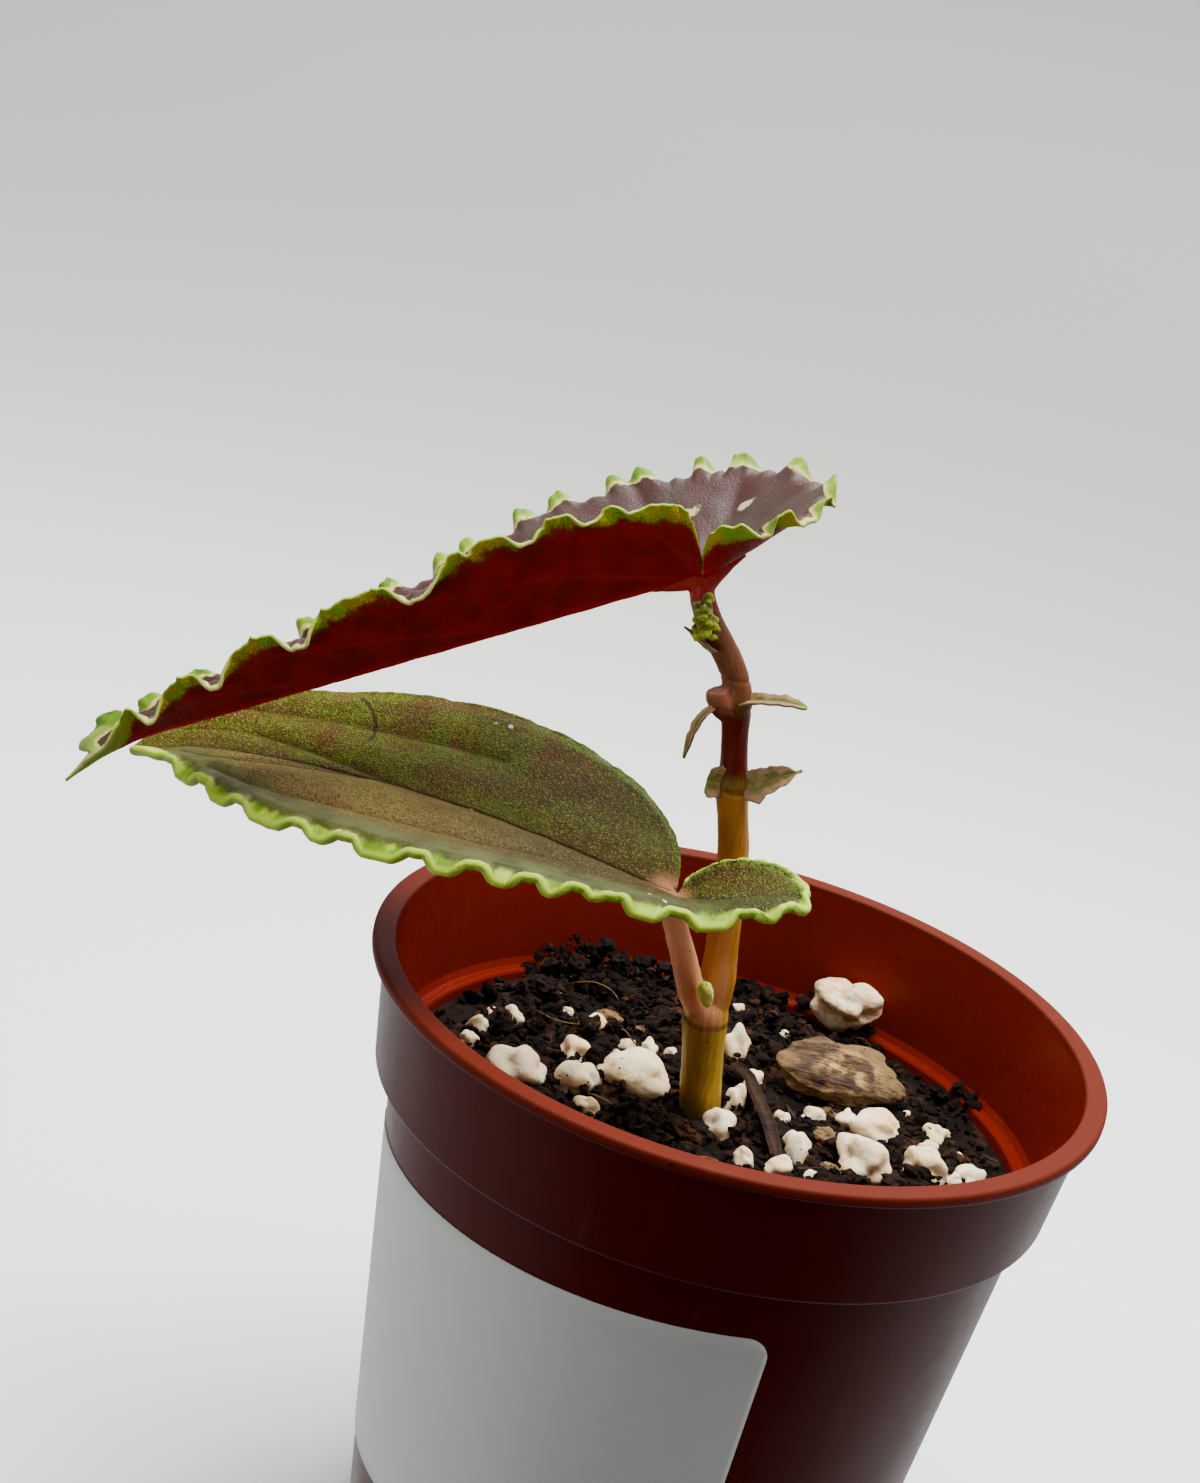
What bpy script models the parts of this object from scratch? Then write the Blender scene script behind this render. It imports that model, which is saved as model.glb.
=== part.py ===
"""A young begonia in a small round nursery pot, with a blank label wrapped on the pot.

Metres, +Z up. The origin is the centre of the underside of the pot's base.
"""

import math
import random

import bmesh
import bpy
import numpy as np
from mathutils import Matrix, Vector, noise

MM = 0.001
GAP = 0.3 * MM  # clearance between pieces that touch

# Pot
POT_HEIGHT = 72 * MM
RIM_RADIUS = 40 * MM
RIM_THICKNESS = 1.3 * MM
COLLAR_TOP_RADIUS = 38.6 * MM
COLLAR_FOOT_RADIUS = 37.1 * MM
COLLAR_FOOT_Z = 58.2 * MM
BODY_TOP_RADIUS = 35.2 * MM
BODY_FOOT_RADIUS = 28.8 * MM
WALL = 1.0 * MM
FLOOR_THICKNESS = 1.5 * MM
LEDGE_Z = COLLAR_FOOT_Z - 1.0 * MM  # inner edge of the ledge behind the shoulder
LEDGE_RISE = 1.3 * MM  # how much higher the ledge meets the collar
FOOT_ROUNDING = 1.2 * MM
POT_SEGMENTS = 56
DRAIN_COUNT = 6
DRAIN_RADIUS = 3.0 * MM
DRAIN_CIRCLE_RADIUS = 17 * MM

# Label
LABEL_LENGTH = 63.5 * MM
LABEL_HEIGHT = 38.1 * MM
LABEL_CORNER = 2.6 * MM
LABEL_THICKNESS = 0.6 * MM
LABEL_TOP_Z = 51.2 * MM
LABEL_RIGHT_ANGLE = 15.0  # degrees from the front, seen from above
LABEL_SLOPE = 0.03  # how far the label leans, rise over run

# Potting mix
SOIL_Z = 56.6 * MM
SOIL_BUMP = 0.7 * MM
SOIL_REAR_RISE = 2.6 * MM
SOIL_SEGMENTS = 40
SOIL_RINGS = 6
SEED = 11
CRUMB_COUNT = 26
FILL_GRAIN_COUNT = 16
# Large perlite grains: x, y, width and height in millimetres.
GRAINS = [
    (-21.8, -1.5, 6.2, 4.4), (-15.3, -2.2, 5.2, 5.4), (-16.0, 5.0, 3.4, 3.2), (-8.6, 3.4, 7.6, 4.8),
    (-10.8, 9.9, 2.9, 2.8), (-7.4, 11.9, 2.9, 2.8), (2.0, 17.8, 3.0, 4.2), (2.6, 5.6, 3.0, 3.8),
    (1.6, -2.6, 4.2, 3.8), (9.3, -2.7, 3.4, 4.6), (3.9, -8.1, 3.0, 3.0), (7.9, -8.7, 3.4, 3.0),
    (18.9, 5.4, 5.0, 3.8), (16.8, -2.0, 6.6, 5.2), (23.9, -1.6, 6.0, 4.8), (25.8, 8.8, 2.8, 2.8),
    (29.0, 0.6, 4.0, 3.8), (11.4, 5.2, 2.9, 2.8), (-13.6, 14.5, 3.8, 3.0), (-26.5, 6.9, 3.2, 2.8),
]

# Loose pieces on the mix and on the ledge
CHIP_CENTRE = (13.6 * MM, 14.2 * MM)
CHIP_SIZE = (14.4 * MM, 8.0 * MM, 4.4 * MM)
CHIP_TURN = math.radians(8)
CHIP_TILT = math.radians(28)
LEDGE_GRAIN_ANGLE = math.radians(64.5)
LEDGE_GRAIN_SIZE = (8.4 * MM, 5.8 * MM, 6.6 * MM)

# Stem: route points and radii in millimetres
TRUNK = [(0.3, 2.4, 50.2, 2.1), (-1.4, 1.8, 58.1, 2.3), (-2.5, 1.2, 64.0, 2.3), (-3.3, 0.8, 68.6, 2.5),
         (-3.5, 0.7, 70.6, 2.1), (-3.5, 0.7, 71.8, 1.2)]
MAIN_STEM = [
    (-3.0, 0.8, 68.2, 1.9), (-3.0, 0.8, 72.3, 2.0), (-3.4, 0.9, 76.3, 1.8), (-4.0, 1.0, 80.9, 1.75),
    (-4.7, 1.2, 86.5, 1.7), (-5.75, 1.3, 90.8, 1.65), (-6.5, 1.2, 93.6, 1.75), (-6.75, 1.2, 95.0, 1.85),
    (-7.0, 1.1, 96.2, 1.55), (-7.7, 1.0, 99.6, 1.45), (-8.3, 0.9, 102.6, 1.6), (-8.6, 0.8, 104.1, 1.75),
    (-8.9, 0.7, 105.4, 1.5), (-9.8, 0.6, 107.2, 1.45), (-11.3, 0.5, 109.2, 1.42), (-13.0, 0.3, 111.3, 1.38),
    (-14.3, 0.1, 113.4, 1.35), (-15.0, 0.05, 115.25, 1.3),
]
LOWER_PETIOLE = [
    (-3.2, 0.6, 67.6, 1.6), (-4.4, 0.0, 69.9, 1.65), (-5.6, -1.1, 71.9, 1.5), (-7.2, -3.3, 76.0, 1.4),
    (-8.8, -5.9, 80.0, 1.3), (-9.8, -7.7, 82.7, 1.2), (-10.1, -8.0, 84.05, 1.15),
]
STUB = [(-8.9, 0.4, 102.4, 1.2), (-10.2, -0.3, 103.6, 1.35), (-10.9, -0.6, 104.9, 1.1)]  # dormant bud
HOLE_RADIUS = 2.8 * MM

# Leaves, in millimetres. An outline runs from the sinus, where the blade meets its stalk,
# round one half of the blade to the tip: u along the midrib, v out from it.
# "fan" is the point up to which the side veins all leave from the stalk.
# "waves" are the crests of the ruffled margin, as the way along it from the sinus, each with
# how deep the trough after it is. In a trough the outer "roll_width" of the blade rolls outward,
# and on a crest the blade is longer by "tooth".
BLADE_THICKNESS = 0.6 * MM
INNER_ROWS = 2
ROLL_ROWS = 3
SPAN_COLUMNS = 50
LEAF_UPPER = {
    "stalk": (-15.4, 0.0, 116.3),
    "tip": (-67.1, -10.5, 88.6),
    "halves": {
        "near": {
            "outline": [
                (-0.4, 1.2), (-0.9, 4.0), (-0.8, 7.5), (1.2, 10.6), (5.5, 12.2), (12.0, 13.2), (20.0, 12.8),
                (30.0, 11.0), (40.0, 9.6), (49.0, 7.4), (57.0, 4.8), (63.0, 2.8), (67.5, 0.0),
            ],
            "fan": 4, "columns": 16, "side": -1, "fold": 66, "back": 58, "inner": 52,
            "waves": [
                (0.0, 0.15), (11.7, 0.4), (16.1, 0.6), (21.6, 0.75), (29.2, 0.5), (35.8, 1.0), (41.7, 0.3),
                (46.7, 1.0), (54.2, 1.0), (62.0, 1.0), (66.5, 0.6), (70.4, 0.5),
            ],
        },
        "far": {
            "outline": [
                (-0.6, -1.6), (-2.3, -4.1), (-4.8, -5.6), (-8.6, -5.0), (-12.0, -3.6), (-15.4, 0.4),
                (-16.4, 4.4), (-13.8, 9.6), (-9.0, 13.2), (-3.0, 15.0), (4.0, 16.0), (11.0, 15.8),
                (18.0, 14.4), (26.0, 11.9), (35.0, 9.8), (45.0, 8.0), (53.0, 5.8), (59.0, 4.4), (63.0, 4.6),
                (64.8, 3.8), (64.2, 1.9), (67.5, 0.0),
            ],
            "fan": 10, "columns": 46, "side": 1, "fold": 31, "back": 16, "inner": 60,
            "waves": [
                (0.0, 0.3), (6.6, 0.7), (11.4, 0.5), (16.4, 0.6), (21.5, 0.8), (28.3, 0.8), (34.9, 0.7),
                (39.7, 0.8), (46.6, 0.9), (55.8, 0.6), (59.8, 0.8), (66.7, 0.4), (69.8, 0.8), (75.7, 0.9),
                (85.3, 0.8), (91.3, 0.7), (97.2, 0.7), (101.9, 0.6), (107.5, 0.4),
            ],
        },
    },
    "arch": 0.0, "droop_from": 57.0, "droop": 0.022, "keel": 1.0,
    "roll": 100, "roll_width": 3.0, "lift": 12, "tooth": 0.9,
}
LEAF_LOWER = {
    "stalk": (-10.1, -8.0, 84.9),
    "tip": (-68.6, 1.0, 84.2),
    "halves": {
        "near": {
            "outline": [
                (-1.3, -2.2), (-3.4, -4.2), (-7.4, -5.8), (-11.8, -4.8), (-14.6, -1.6), (-15.2, 2.4),
                (-12.8, 5.8), (-7.6, 6.9), (-2.2, 8.8), (3.6, 11.4), (12.0, 14.4), (22.0, 15.8), (31.0, 15.1),
                (40.0, 12.4), (48.0, 8.2), (54.6, 3.2), (60.0, 0.0),
            ],
            "fan": 9, "columns": 36, "side": -1, "fold": 12, "twist": -0.52, "back": 28, "inner": 46,
            "waves": [
                (0.0, 0.25), (6.0, 0.2), (12.0, 0.3), (18.5, 0.9), (25.8, 1.0), (31.4, 1.0), (36.6, 1.0),
                (42.6, 0.9), (47.1, 1.0), (51.7, 1.0), (57.2, 0.8), (61.4, 0.7), (65.1, 1.0), (70.5, 1.0),
                (76.2, 0.9), (82.1, 1.0), (88.5, 0.9), (95.0, 0.5),
            ],
        },
        "far": {
            "outline": [
                (0.4, 1.0), (0.8, 4.0), (2.4, 7.8), (6.6, 11.7), (12.0, 14.0), (19.0, 15.2), (28.0, 15.0),
                (38.0, 13.0), (47.0, 10.0), (54.0, 6.2), (60.0, 0.0),
            ],
            "fan": 4, "columns": 20, "side": 1, "fold": 26, "back": 26, "inner": 26,
            "waves": [
                (0.0, 0.1), (9.0, 0.2), (15.5, 0.3), (23.0, 0.25), (31.0, 0.2), (42.0, 0.3), (54.0, 0.2),
            ],
        },
    },
    "arch": 2.8, "droop_from": 48.0, "droop": 0.02, "keel": 1.2,
    "roll": 90, "roll_width": 2.6, "lift": 8, "tooth": 0.2,
}

# Small blades at the stem's joints, in millimetres and degrees: where each starts, the way it
# points, its upper side, its size, and how it bends and folds.
STIPULES = {
    "stipule_upper_right": {
        "foot": (-6.5, 0.4, 104.5), "along": (1.0, -0.25, 0.12), "up": (0.0, -0.5, 1.0),
        "length": 5.6, "width": 2.0, "bend": -0.025, "fold": 30,
    },
    "stipule_upper_left": {
        "foot": (-10.9, -1.7, 103.0), "along": (-0.6, -0.4, -0.5), "up": (-0.6, -0.3, 0.6),
        "length": 4.8, "width": 1.6, "bend": -0.13, "fold": 26,
    },
    "stipule_lower_right": {
        "foot": (-4.55, 0.6, 95.6), "along": (1.0, -0.3, 0.75), "up": (-0.2, -1.0, 0.3),
        "length": 5.2, "width": 3.4, "bend": -0.03, "fold": 14,
    },
    "stipule_lower_left": {
        "foot": (-8.75, 0.2, 95.2), "along": (-0.6, -0.5, 0.3), "up": (-0.4, -1.0, 0.1),
        "length": 1.5, "width": 3.0, "bend": -0.05, "fold": 10,
    },
    "young_stipule": {
        "foot": (-12.55, -1.1, 109.0), "along": (-1.0, -0.4, 0.55), "up": (-0.4, -0.2, 1.0),
        "length": 4.0, "width": 1.4, "bend": 0.03, "fold": 20,
    },
}
YOUNG_LEAF = {"foot": (-13.3, -2.6, 111.1), "head": (-14.6, -3.6, 114.6), "radius": 1.5, "blobs": 9}
SIDE_BUD = {"foot": (-3.9, -3.2, 71.9), "head": (-4.5, -4.0, 74.4), "radius": 0.8}

COLOURS = {
    "pot": (0.19, 0.035, 0.018),
    "label": (0.78, 0.78, 0.76),
    "potting_mix": (0.035, 0.022, 0.016),
    "bark_chip": (0.11, 0.05, 0.02),
    "perlite_on_ledge": (0.80, 0.74, 0.66),
    "stem": (0.26, 0.11, 0.035),
    "leaf_upper": (0.12, 0.012, 0.014),
    "leaf_lower": (0.10, 0.11, 0.035),
    "stipule": (0.42, 0.40, 0.16),
    "young": (0.26, 0.36, 0.05),
}


def clear_scene():
    for obj in list(bpy.data.objects):
        bpy.data.objects.remove(obj)


def new_collection(name):
    collection = bpy.data.collections.new(name)
    bpy.context.scene.collection.children.link(collection)
    return collection


def material(name, colour, roughness):
    mat = bpy.data.materials.new(name)
    mat.use_nodes = True
    shader = mat.node_tree.nodes["Principled BSDF"]
    shader.inputs["Base Color"].default_value = (*colour, 1.0)
    shader.inputs["Roughness"].default_value = roughness
    shader.inputs["Metallic"].default_value = 0.0
    return mat


def new_object(name, mesh, collection, colour=None, roughness=0.5):
    obj = bpy.data.objects.new(name, mesh)
    collection.objects.link(obj)
    if colour:
        mesh.materials.clear()
        mesh.materials.append(material(name, colour, roughness))
    return obj


def mesh_from(bm, name, smooth=True):
    mesh = bpy.data.meshes.new(name)
    bm.to_mesh(mesh)
    bm.free()
    if smooth:
        mesh.shade_smooth()
        mesh.set_sharp_from_angle(angle=math.radians(40))
    return mesh


def apply_modifiers(obj):
    """Bake the modifiers of an object into a new mesh."""
    depsgraph = bpy.context.evaluated_depsgraph_get()
    baked = bpy.data.meshes.new_from_object(obj.evaluated_get(depsgraph))
    obj.modifiers.clear()
    obj.data = baked


def turned(name, profile, segments, collection):
    """A closed turned solid from a profile that runs down its outer side."""
    bm = bmesh.new()
    points = [bm.verts.new((r, 0, z)) for r, z in profile]
    for a, b in zip(points, points[1:]):
        bm.edges.new((a, b))
    obj = new_object(name, mesh_from(bm, name, smooth=False), collection)
    screw = obj.modifiers.new("turn", "SCREW")
    screw.steps = segments
    screw.render_steps = segments
    screw.use_merge_vertices = True
    screw.merge_threshold = 0.00001
    return obj


def boolean(obj, other, operation, solver="EXACT"):
    mod = obj.modifiers.new(operation.lower(), "BOOLEAN")
    mod.operation = operation
    mod.solver = solver
    if isinstance(other, bpy.types.Collection):
        mod.operand_type = "COLLECTION"
        mod.collection = other
    else:
        mod.object = other
    return mod


def join_all(obj, collection):
    """Fuse every object of a collection to obj, then remove them."""
    boolean(obj, collection, "UNION")
    apply_modifiers(obj)
    for extra in list(collection.objects):
        bpy.data.objects.remove(extra)
    bpy.data.collections.remove(collection)


def cutter(name, mesh, collection):
    obj = new_object(name, mesh, collection)
    obj.hide_render = True
    obj.display_type = "WIRE"
    return obj


def catmull_rom(points, per_span):
    """A smooth run of points through the given ones."""
    pts = np.array(points, dtype=float)
    ends = np.vstack([2 * pts[0] - pts[1], pts, 2 * pts[-1] - pts[-2]])
    run = []
    for i in range(len(pts) - 1):
        p0, p1, p2, p3 = ends[i:i + 4]
        for t in np.linspace(0, 1, per_span, endpoint=False):
            run.append(0.5 * (2 * p1 + (p2 - p0) * t + (2 * p0 - 5 * p1 + 4 * p2 - p3) * t ** 2
                              + (3 * p1 - p0 - 3 * p2 + p3) * t ** 3))
    run.append(pts[-1])
    return np.array(run)


def evenly(points, count):
    """Resample a polyline to count + 1 points at equal steps, with the arc length of each."""
    steps = np.linalg.norm(np.diff(points, axis=0), axis=1)
    length = np.concatenate([[0], np.cumsum(steps)])
    at = np.linspace(0, length[-1], count + 1)
    return np.stack([np.interp(at, length, points[:, k]) for k in range(points.shape[1])], axis=1), at


def direction(start, end):
    return (Vector(end) - Vector(start)).normalized()


# The pot

def body_radius(z):
    """Outer radius of the pot's tapered body at height z."""
    share = z / COLLAR_FOOT_Z
    return BODY_FOOT_RADIUS + (BODY_TOP_RADIUS - BODY_FOOT_RADIUS) * share


def inner_radius(z):
    return body_radius(z) - WALL


def ledge_top(radius):
    """Height of the sloping ledge at a radius."""
    inner, outer = inner_radius(LEDGE_Z) + 0.4 * MM, COLLAR_FOOT_RADIUS - WALL
    return LEDGE_Z + LEDGE_RISE * min(1.0, max(0.0, (radius - inner) / (outer - inner)))


def pot_profile():
    top = POT_HEIGHT
    outside = [
        (RIM_RADIUS - 0.35 * MM, top),
        (RIM_RADIUS, top - 0.35 * MM),
        (RIM_RADIUS, top - RIM_THICKNESS + 0.3 * MM),
        (RIM_RADIUS - 0.3 * MM, top - RIM_THICKNESS),
        (COLLAR_TOP_RADIUS, top - RIM_THICKNESS - 0.3 * MM),
        (COLLAR_FOOT_RADIUS, COLLAR_FOOT_Z + 0.7 * MM),
        (COLLAR_FOOT_RADIUS - 0.4 * MM, COLLAR_FOOT_Z),
        (BODY_TOP_RADIUS, COLLAR_FOOT_Z - 0.8 * MM),
        (body_radius(FOOT_ROUNDING), FOOT_ROUNDING),
        (body_radius(0) - 0.4 * FOOT_ROUNDING, 0.3 * FOOT_ROUNDING),
        (body_radius(0) - FOOT_ROUNDING, 0.0),
        (0.0, 0.0),
    ]
    inside = [
        (0.0, FLOOR_THICKNESS),
        (inner_radius(FLOOR_THICKNESS) - 0.5 * MM, FLOOR_THICKNESS),
        (inner_radius(FLOOR_THICKNESS), FLOOR_THICKNESS + 0.5 * MM),
        (inner_radius(LEDGE_Z), LEDGE_Z - 0.4 * MM),
        (inner_radius(LEDGE_Z) + 0.4 * MM, LEDGE_Z),
        (COLLAR_FOOT_RADIUS - WALL, LEDGE_Z + LEDGE_RISE),
        (COLLAR_TOP_RADIUS - WALL, top - 0.35 * MM),
        (COLLAR_TOP_RADIUS - WALL + 0.3 * MM, top),
    ]
    return outside + inside + [outside[0]]


def make_pot(parts, cutters):
    pot = turned("pot", pot_profile(), POT_SEGMENTS, parts)
    pot.data.materials.append(material("pot", COLOURS["pot"], 0.35))
    holes = bmesh.new()
    for i in range(DRAIN_COUNT):
        angle = math.radians(30) + 2 * math.pi * i / DRAIN_COUNT
        centre = Vector((math.cos(angle), math.sin(angle), 0)) * DRAIN_CIRCLE_RADIUS
        place = Matrix.Translation(centre)
        bmesh.ops.create_cone(holes, cap_ends=True, segments=16, radius1=DRAIN_RADIUS,
                              radius2=DRAIN_RADIUS, depth=4 * FLOOR_THICKNESS, matrix=place)
    boolean(pot, cutter("drain_holes", mesh_from(holes, "drain_holes"), cutters), "DIFFERENCE")
    apply_modifiers(pot)
    pot.data.shade_smooth()
    pot.data.set_sharp_from_angle(angle=math.radians(40))
    return pot


# The label, a thin rounded plate wrapped round the body

def make_label(parts):
    columns = 24
    rows = 4
    bm = bmesh.new()
    corners = [
        bm.verts.new((x * LABEL_LENGTH / 2, y * LABEL_HEIGHT / 2, 0))
        for x, y in ((-1, -1), (1, -1), (1, 1), (-1, 1))
    ]
    face = bm.faces.new(corners)
    bmesh.ops.bevel(bm, geom=list(face.verts), offset=LABEL_CORNER, affect="VERTICES", segments=4,
                    profile=0.5, material=-1)
    for i in range(1, columns):
        cut_sheet(bm, Vector((LABEL_LENGTH * (i / columns - 0.5), 0, 0)), Vector((1, 0, 0)))
    for i in range(1, rows):
        cut_sheet(bm, Vector((0, LABEL_HEIGHT * (i / rows - 0.5), 0)), Vector((0, 1, 0)))
    bmesh.ops.triangulate(bm, faces=bm.faces[:])
    for v in bm.verts:
        v.co = wrap_on_body(v.co.x, v.co.y)
    bmesh.ops.recalc_face_normals(bm, faces=bm.faces[:])
    mesh = mesh_from(bm, "label")
    label = new_object("label", mesh, parts, COLOURS["label"], 0.45)
    middle = wrap_on_body(0, 0)
    outward = Vector((middle.x, middle.y, 0)).normalized()
    nearest = min(mesh.polygons, key=lambda p: (p.center - middle).length)
    solid = label.modifiers.new("thickness", "SOLIDIFY")
    solid.thickness = LABEL_THICKNESS
    solid.offset = 1.0 if nearest.normal.dot(outward) > 0 else -1.0
    return label


def cut_sheet(bm, point, normal):
    bmesh.ops.bisect_plane(bm, geom=bm.verts[:] + bm.edges[:] + bm.faces[:], dist=1e-7,
                           plane_co=point, plane_no=normal)


def wrap_on_body(x, y):
    """Lay a point of the flat label on the tapered body, the label's top edge at LABEL_TOP_Z."""
    z = LABEL_TOP_Z - LABEL_HEIGHT / 2 + y + x * LABEL_SLOPE
    radius = body_radius(z) + GAP
    mean = body_radius(LABEL_TOP_Z) + GAP
    angle = math.radians(LABEL_RIGHT_ANGLE) + (x - LABEL_LENGTH / 2) / mean
    return Vector((radius * math.sin(angle), -radius * math.cos(angle), z))


# The potting mix

def soil_top(x, y):
    """Height of the soil's uneven surface."""
    edge = inner_radius(SOIL_Z)
    reach = min(1.0, math.hypot(x, y) / edge)
    rear = max(0.0, (y - 0.6 * x) / edge) * (1 - reach ** 6)
    bumps = noise.noise(Vector((x, y, 0)) / (7 * MM)) + 0.5 * noise.noise(Vector((x, y, 1)) / (3 * MM))
    return SOIL_Z + SOIL_REAR_RISE * rear + SOIL_BUMP * bumps * (1 - 0.6 * reach ** 4)


def lump(name, centre, size, subdivisions, rough, seed, collection, turn=None):
    """A lumpy closed grain."""
    bm = bmesh.new()
    bmesh.ops.create_icosphere(bm, subdivisions=subdivisions, radius=1.0)
    spin = turn or Matrix.Identity(3)
    for v in bm.verts:
        swell = 1 + rough * noise.noise(v.co * 1.3 + Vector((seed * 3.1, seed * 1.7, 0)))
        v.co = spin @ Vector([0.5 * s * swell * c for s, c in zip(size, v.co)]) + Vector(centre)
    return new_object(name, mesh_from(bm, name), collection)


def clear_of(x, y, radius, taken):
    return all(math.hypot(x - a, y - b) > radius + r for a, b, r in taken)


def scattered(rng, count, sizes, taken, limit):
    """Seeded places that keep off the ones already taken."""
    places = []
    while len(places) < count:
        radius = limit * math.sqrt(rng.random())
        angle = rng.uniform(0, 2 * math.pi)
        x, y, size = radius * math.cos(angle), radius * math.sin(angle), rng.uniform(*sizes)
        if clear_of(x, y, 0.42 * size, taken):
            taken.append((x, y, 0.42 * size))
            places.append((x, y, size))
    return places


def make_potting_mix(parts, cutters):
    floor = FLOOR_THICKNESS + GAP
    edge = inner_radius(SOIL_Z) - GAP
    rings = [(edge * (1 - i / SOIL_RINGS), SOIL_Z) for i in range(SOIL_RINGS, -1, -1)]
    foot = inner_radius(floor + 0.6 * MM) - GAP
    profile = rings + [(foot, floor + 0.6 * MM), (foot - 0.9 * MM, floor), (0.0, floor)]
    mix = turned("potting_mix", profile, SOIL_SEGMENTS, parts)
    apply_modifiers(mix)
    for v in mix.data.vertices:
        if v.co.z > SOIL_Z - 0.1 * MM:
            v.co.z = soil_top(v.co.x, v.co.y)

    grains = new_collection("grains")
    rng = random.Random(SEED)
    chip_reach = 0.62 * CHIP_SIZE[0]
    taken = [(*CHIP_CENTRE, chip_reach), (TRUNK[1][0] * MM, TRUNK[1][1] * MM, HOLE_RADIUS + 0.6 * MM)]
    limit = edge - 2.6 * MM
    for i, (x, y, width, height) in enumerate(GRAINS):
        place_grain(i, x * MM, y * MM, width * MM, height * MM, rng, grains)
        taken.append((x * MM, y * MM, 0.5 * width * MM))
    for i, (x, y, size) in enumerate(scattered(rng, FILL_GRAIN_COUNT, (2.8 * MM, 5.0 * MM), taken, limit)):
        place_grain(100 + i, x, y, size, 0.85 * size, rng, grains)
    for i, (x, y, size) in enumerate(scattered(rng, CRUMB_COUNT, (2.0 * MM, 4.4 * MM), taken, limit)):
        centre = (x, y, soil_top(x, y) + 0.12 * size)
        lump("crumb", centre, (size, 0.8 * size, 0.8 * size), 1, 0.5, 200 + i, grains)
    join_all(mix, grains)

    hole = bmesh.new()
    bottom, top = Vector(TRUNK[0][:3]) * MM, Vector(TRUNK[1][:3]) * MM
    along = (top - bottom).normalized()
    length = (top - bottom).length + 9 * MM
    middle = bottom + along * (length / 2 - GAP)
    place = Matrix.Translation(middle) @ along.to_track_quat("Z", "Y").to_matrix().to_4x4()
    bmesh.ops.create_cone(hole, cap_ends=True, segments=16, radius1=HOLE_RADIUS, radius2=HOLE_RADIUS,
                          depth=length, matrix=place)
    boolean(mix, cutter("stem_hole", mesh_from(hole, "stem_hole"), cutters), "DIFFERENCE")
    apply_modifiers(mix)
    mix.data.materials.clear()
    mix.data.materials.append(material("potting_mix", COLOURS["potting_mix"], 0.95))
    return mix


def place_grain(number, x, y, width, height, rng, collection):
    """A perlite grain with its root sunk in the soil."""
    turn = Matrix.Rotation(rng.uniform(0, math.pi), 3, "Z") @ Matrix.Rotation(rng.uniform(-0.3, 0.3), 3, "X")
    subdivisions = 2 if width > 3.1 * MM else 1
    size = (width, 0.82 * width, height)
    lump("grain", (x, y, soil_top(x, y) + 0.22 * height), size, subdivisions, 0.45, number, collection, turn)


def support_under(x, y):
    """Height of what carries a loose piece at a place: the ledge, or the mix inside it."""
    radius = math.hypot(x, y)
    if radius > inner_radius(LEDGE_Z):
        return ledge_top(radius)
    return soil_top(x, y)


def make_bark_chip(parts):
    """A rounded slab of bark that lies on the mix."""
    turn = Matrix.Rotation(CHIP_TURN, 3, "Z") @ Matrix.Rotation(CHIP_TILT, 3, "X")
    chip = lump("bark_chip", (0, 0, 0), CHIP_SIZE, 2, 0.35, 7, parts, turn)
    x0, y0 = CHIP_CENTRE
    rise = max(soil_top(x0 + v.co.x, y0 + v.co.y) - v.co.z for v in chip.data.vertices)
    for v in chip.data.vertices:
        v.co += Vector((x0, y0, rise + 1.5 * GAP))
    chip.data.materials.append(material("bark_chip", COLOURS["bark_chip"], 0.85))
    return chip


def make_ledge_grain(parts):
    """The large perlite grain that lies on the ledge, against the collar."""
    turn = Matrix.Rotation(LEDGE_GRAIN_ANGLE, 3, "Z") @ Matrix.Rotation(0.25, 3, "Y")
    size = (LEDGE_GRAIN_SIZE[1], LEDGE_GRAIN_SIZE[0], LEDGE_GRAIN_SIZE[2])
    grain = lump("perlite_on_ledge", (0, 0, 0), size, 2, 0.4, 5, parts, turn)
    facet = math.cos(math.pi / POT_SEGMENTS)  # the wall's flats lie inside its round outline
    wall = (COLLAR_FOOT_RADIUS - WALL) * facet - GAP
    outward = Vector((math.cos(LEDGE_GRAIN_ANGLE), math.sin(LEDGE_GRAIN_ANGLE), 0))
    reach = max(v.co.dot(outward) for v in grain.data.vertices)
    shift = outward * (wall - reach - 0.2 * MM)
    for v in grain.data.vertices:
        v.co += shift
    rise = max(support_under(v.co.x, v.co.y) - v.co.z for v in grain.data.vertices)
    for v in grain.data.vertices:
        v.co.z += rise + GAP
    grain.data.materials.append(material("perlite_on_ledge", COLOURS["perlite_on_ledge"], 0.9))
    return grain


# The stem

def tube(name, route, per_span, collection, sides=2):
    """A welded tube with filled caps along a smooth route of points and radii."""
    curve = bpy.data.curves.new(name, "CURVE")
    curve.dimensions = "3D"
    curve.bevel_depth = MM
    curve.bevel_resolution = sides
    curve.render_resolution_u = 0
    curve.use_fill_caps = True
    run = catmull_rom(route, per_span)
    spline = curve.splines.new("POLY")
    spline.points.add(len(run) - 1)
    for point, (x, y, z, r) in zip(spline.points, run):
        point.co = (x * MM, y * MM, z * MM, 1)
        point.radius = r
    obj = new_object(name, curve, collection)
    depsgraph = bpy.context.evaluated_depsgraph_get()
    mesh = bpy.data.meshes.new_from_object(obj.evaluated_get(depsgraph))
    bm = bmesh.new()
    bm.from_mesh(mesh)
    bmesh.ops.remove_doubles(bm, verts=bm.verts[:], dist=0.00001)
    bm.to_mesh(mesh)
    bm.free()
    solid = new_object(name + "_solid", mesh, collection)
    solid.matrix_world = obj.matrix_world
    bpy.data.objects.remove(obj)
    return solid


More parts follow.
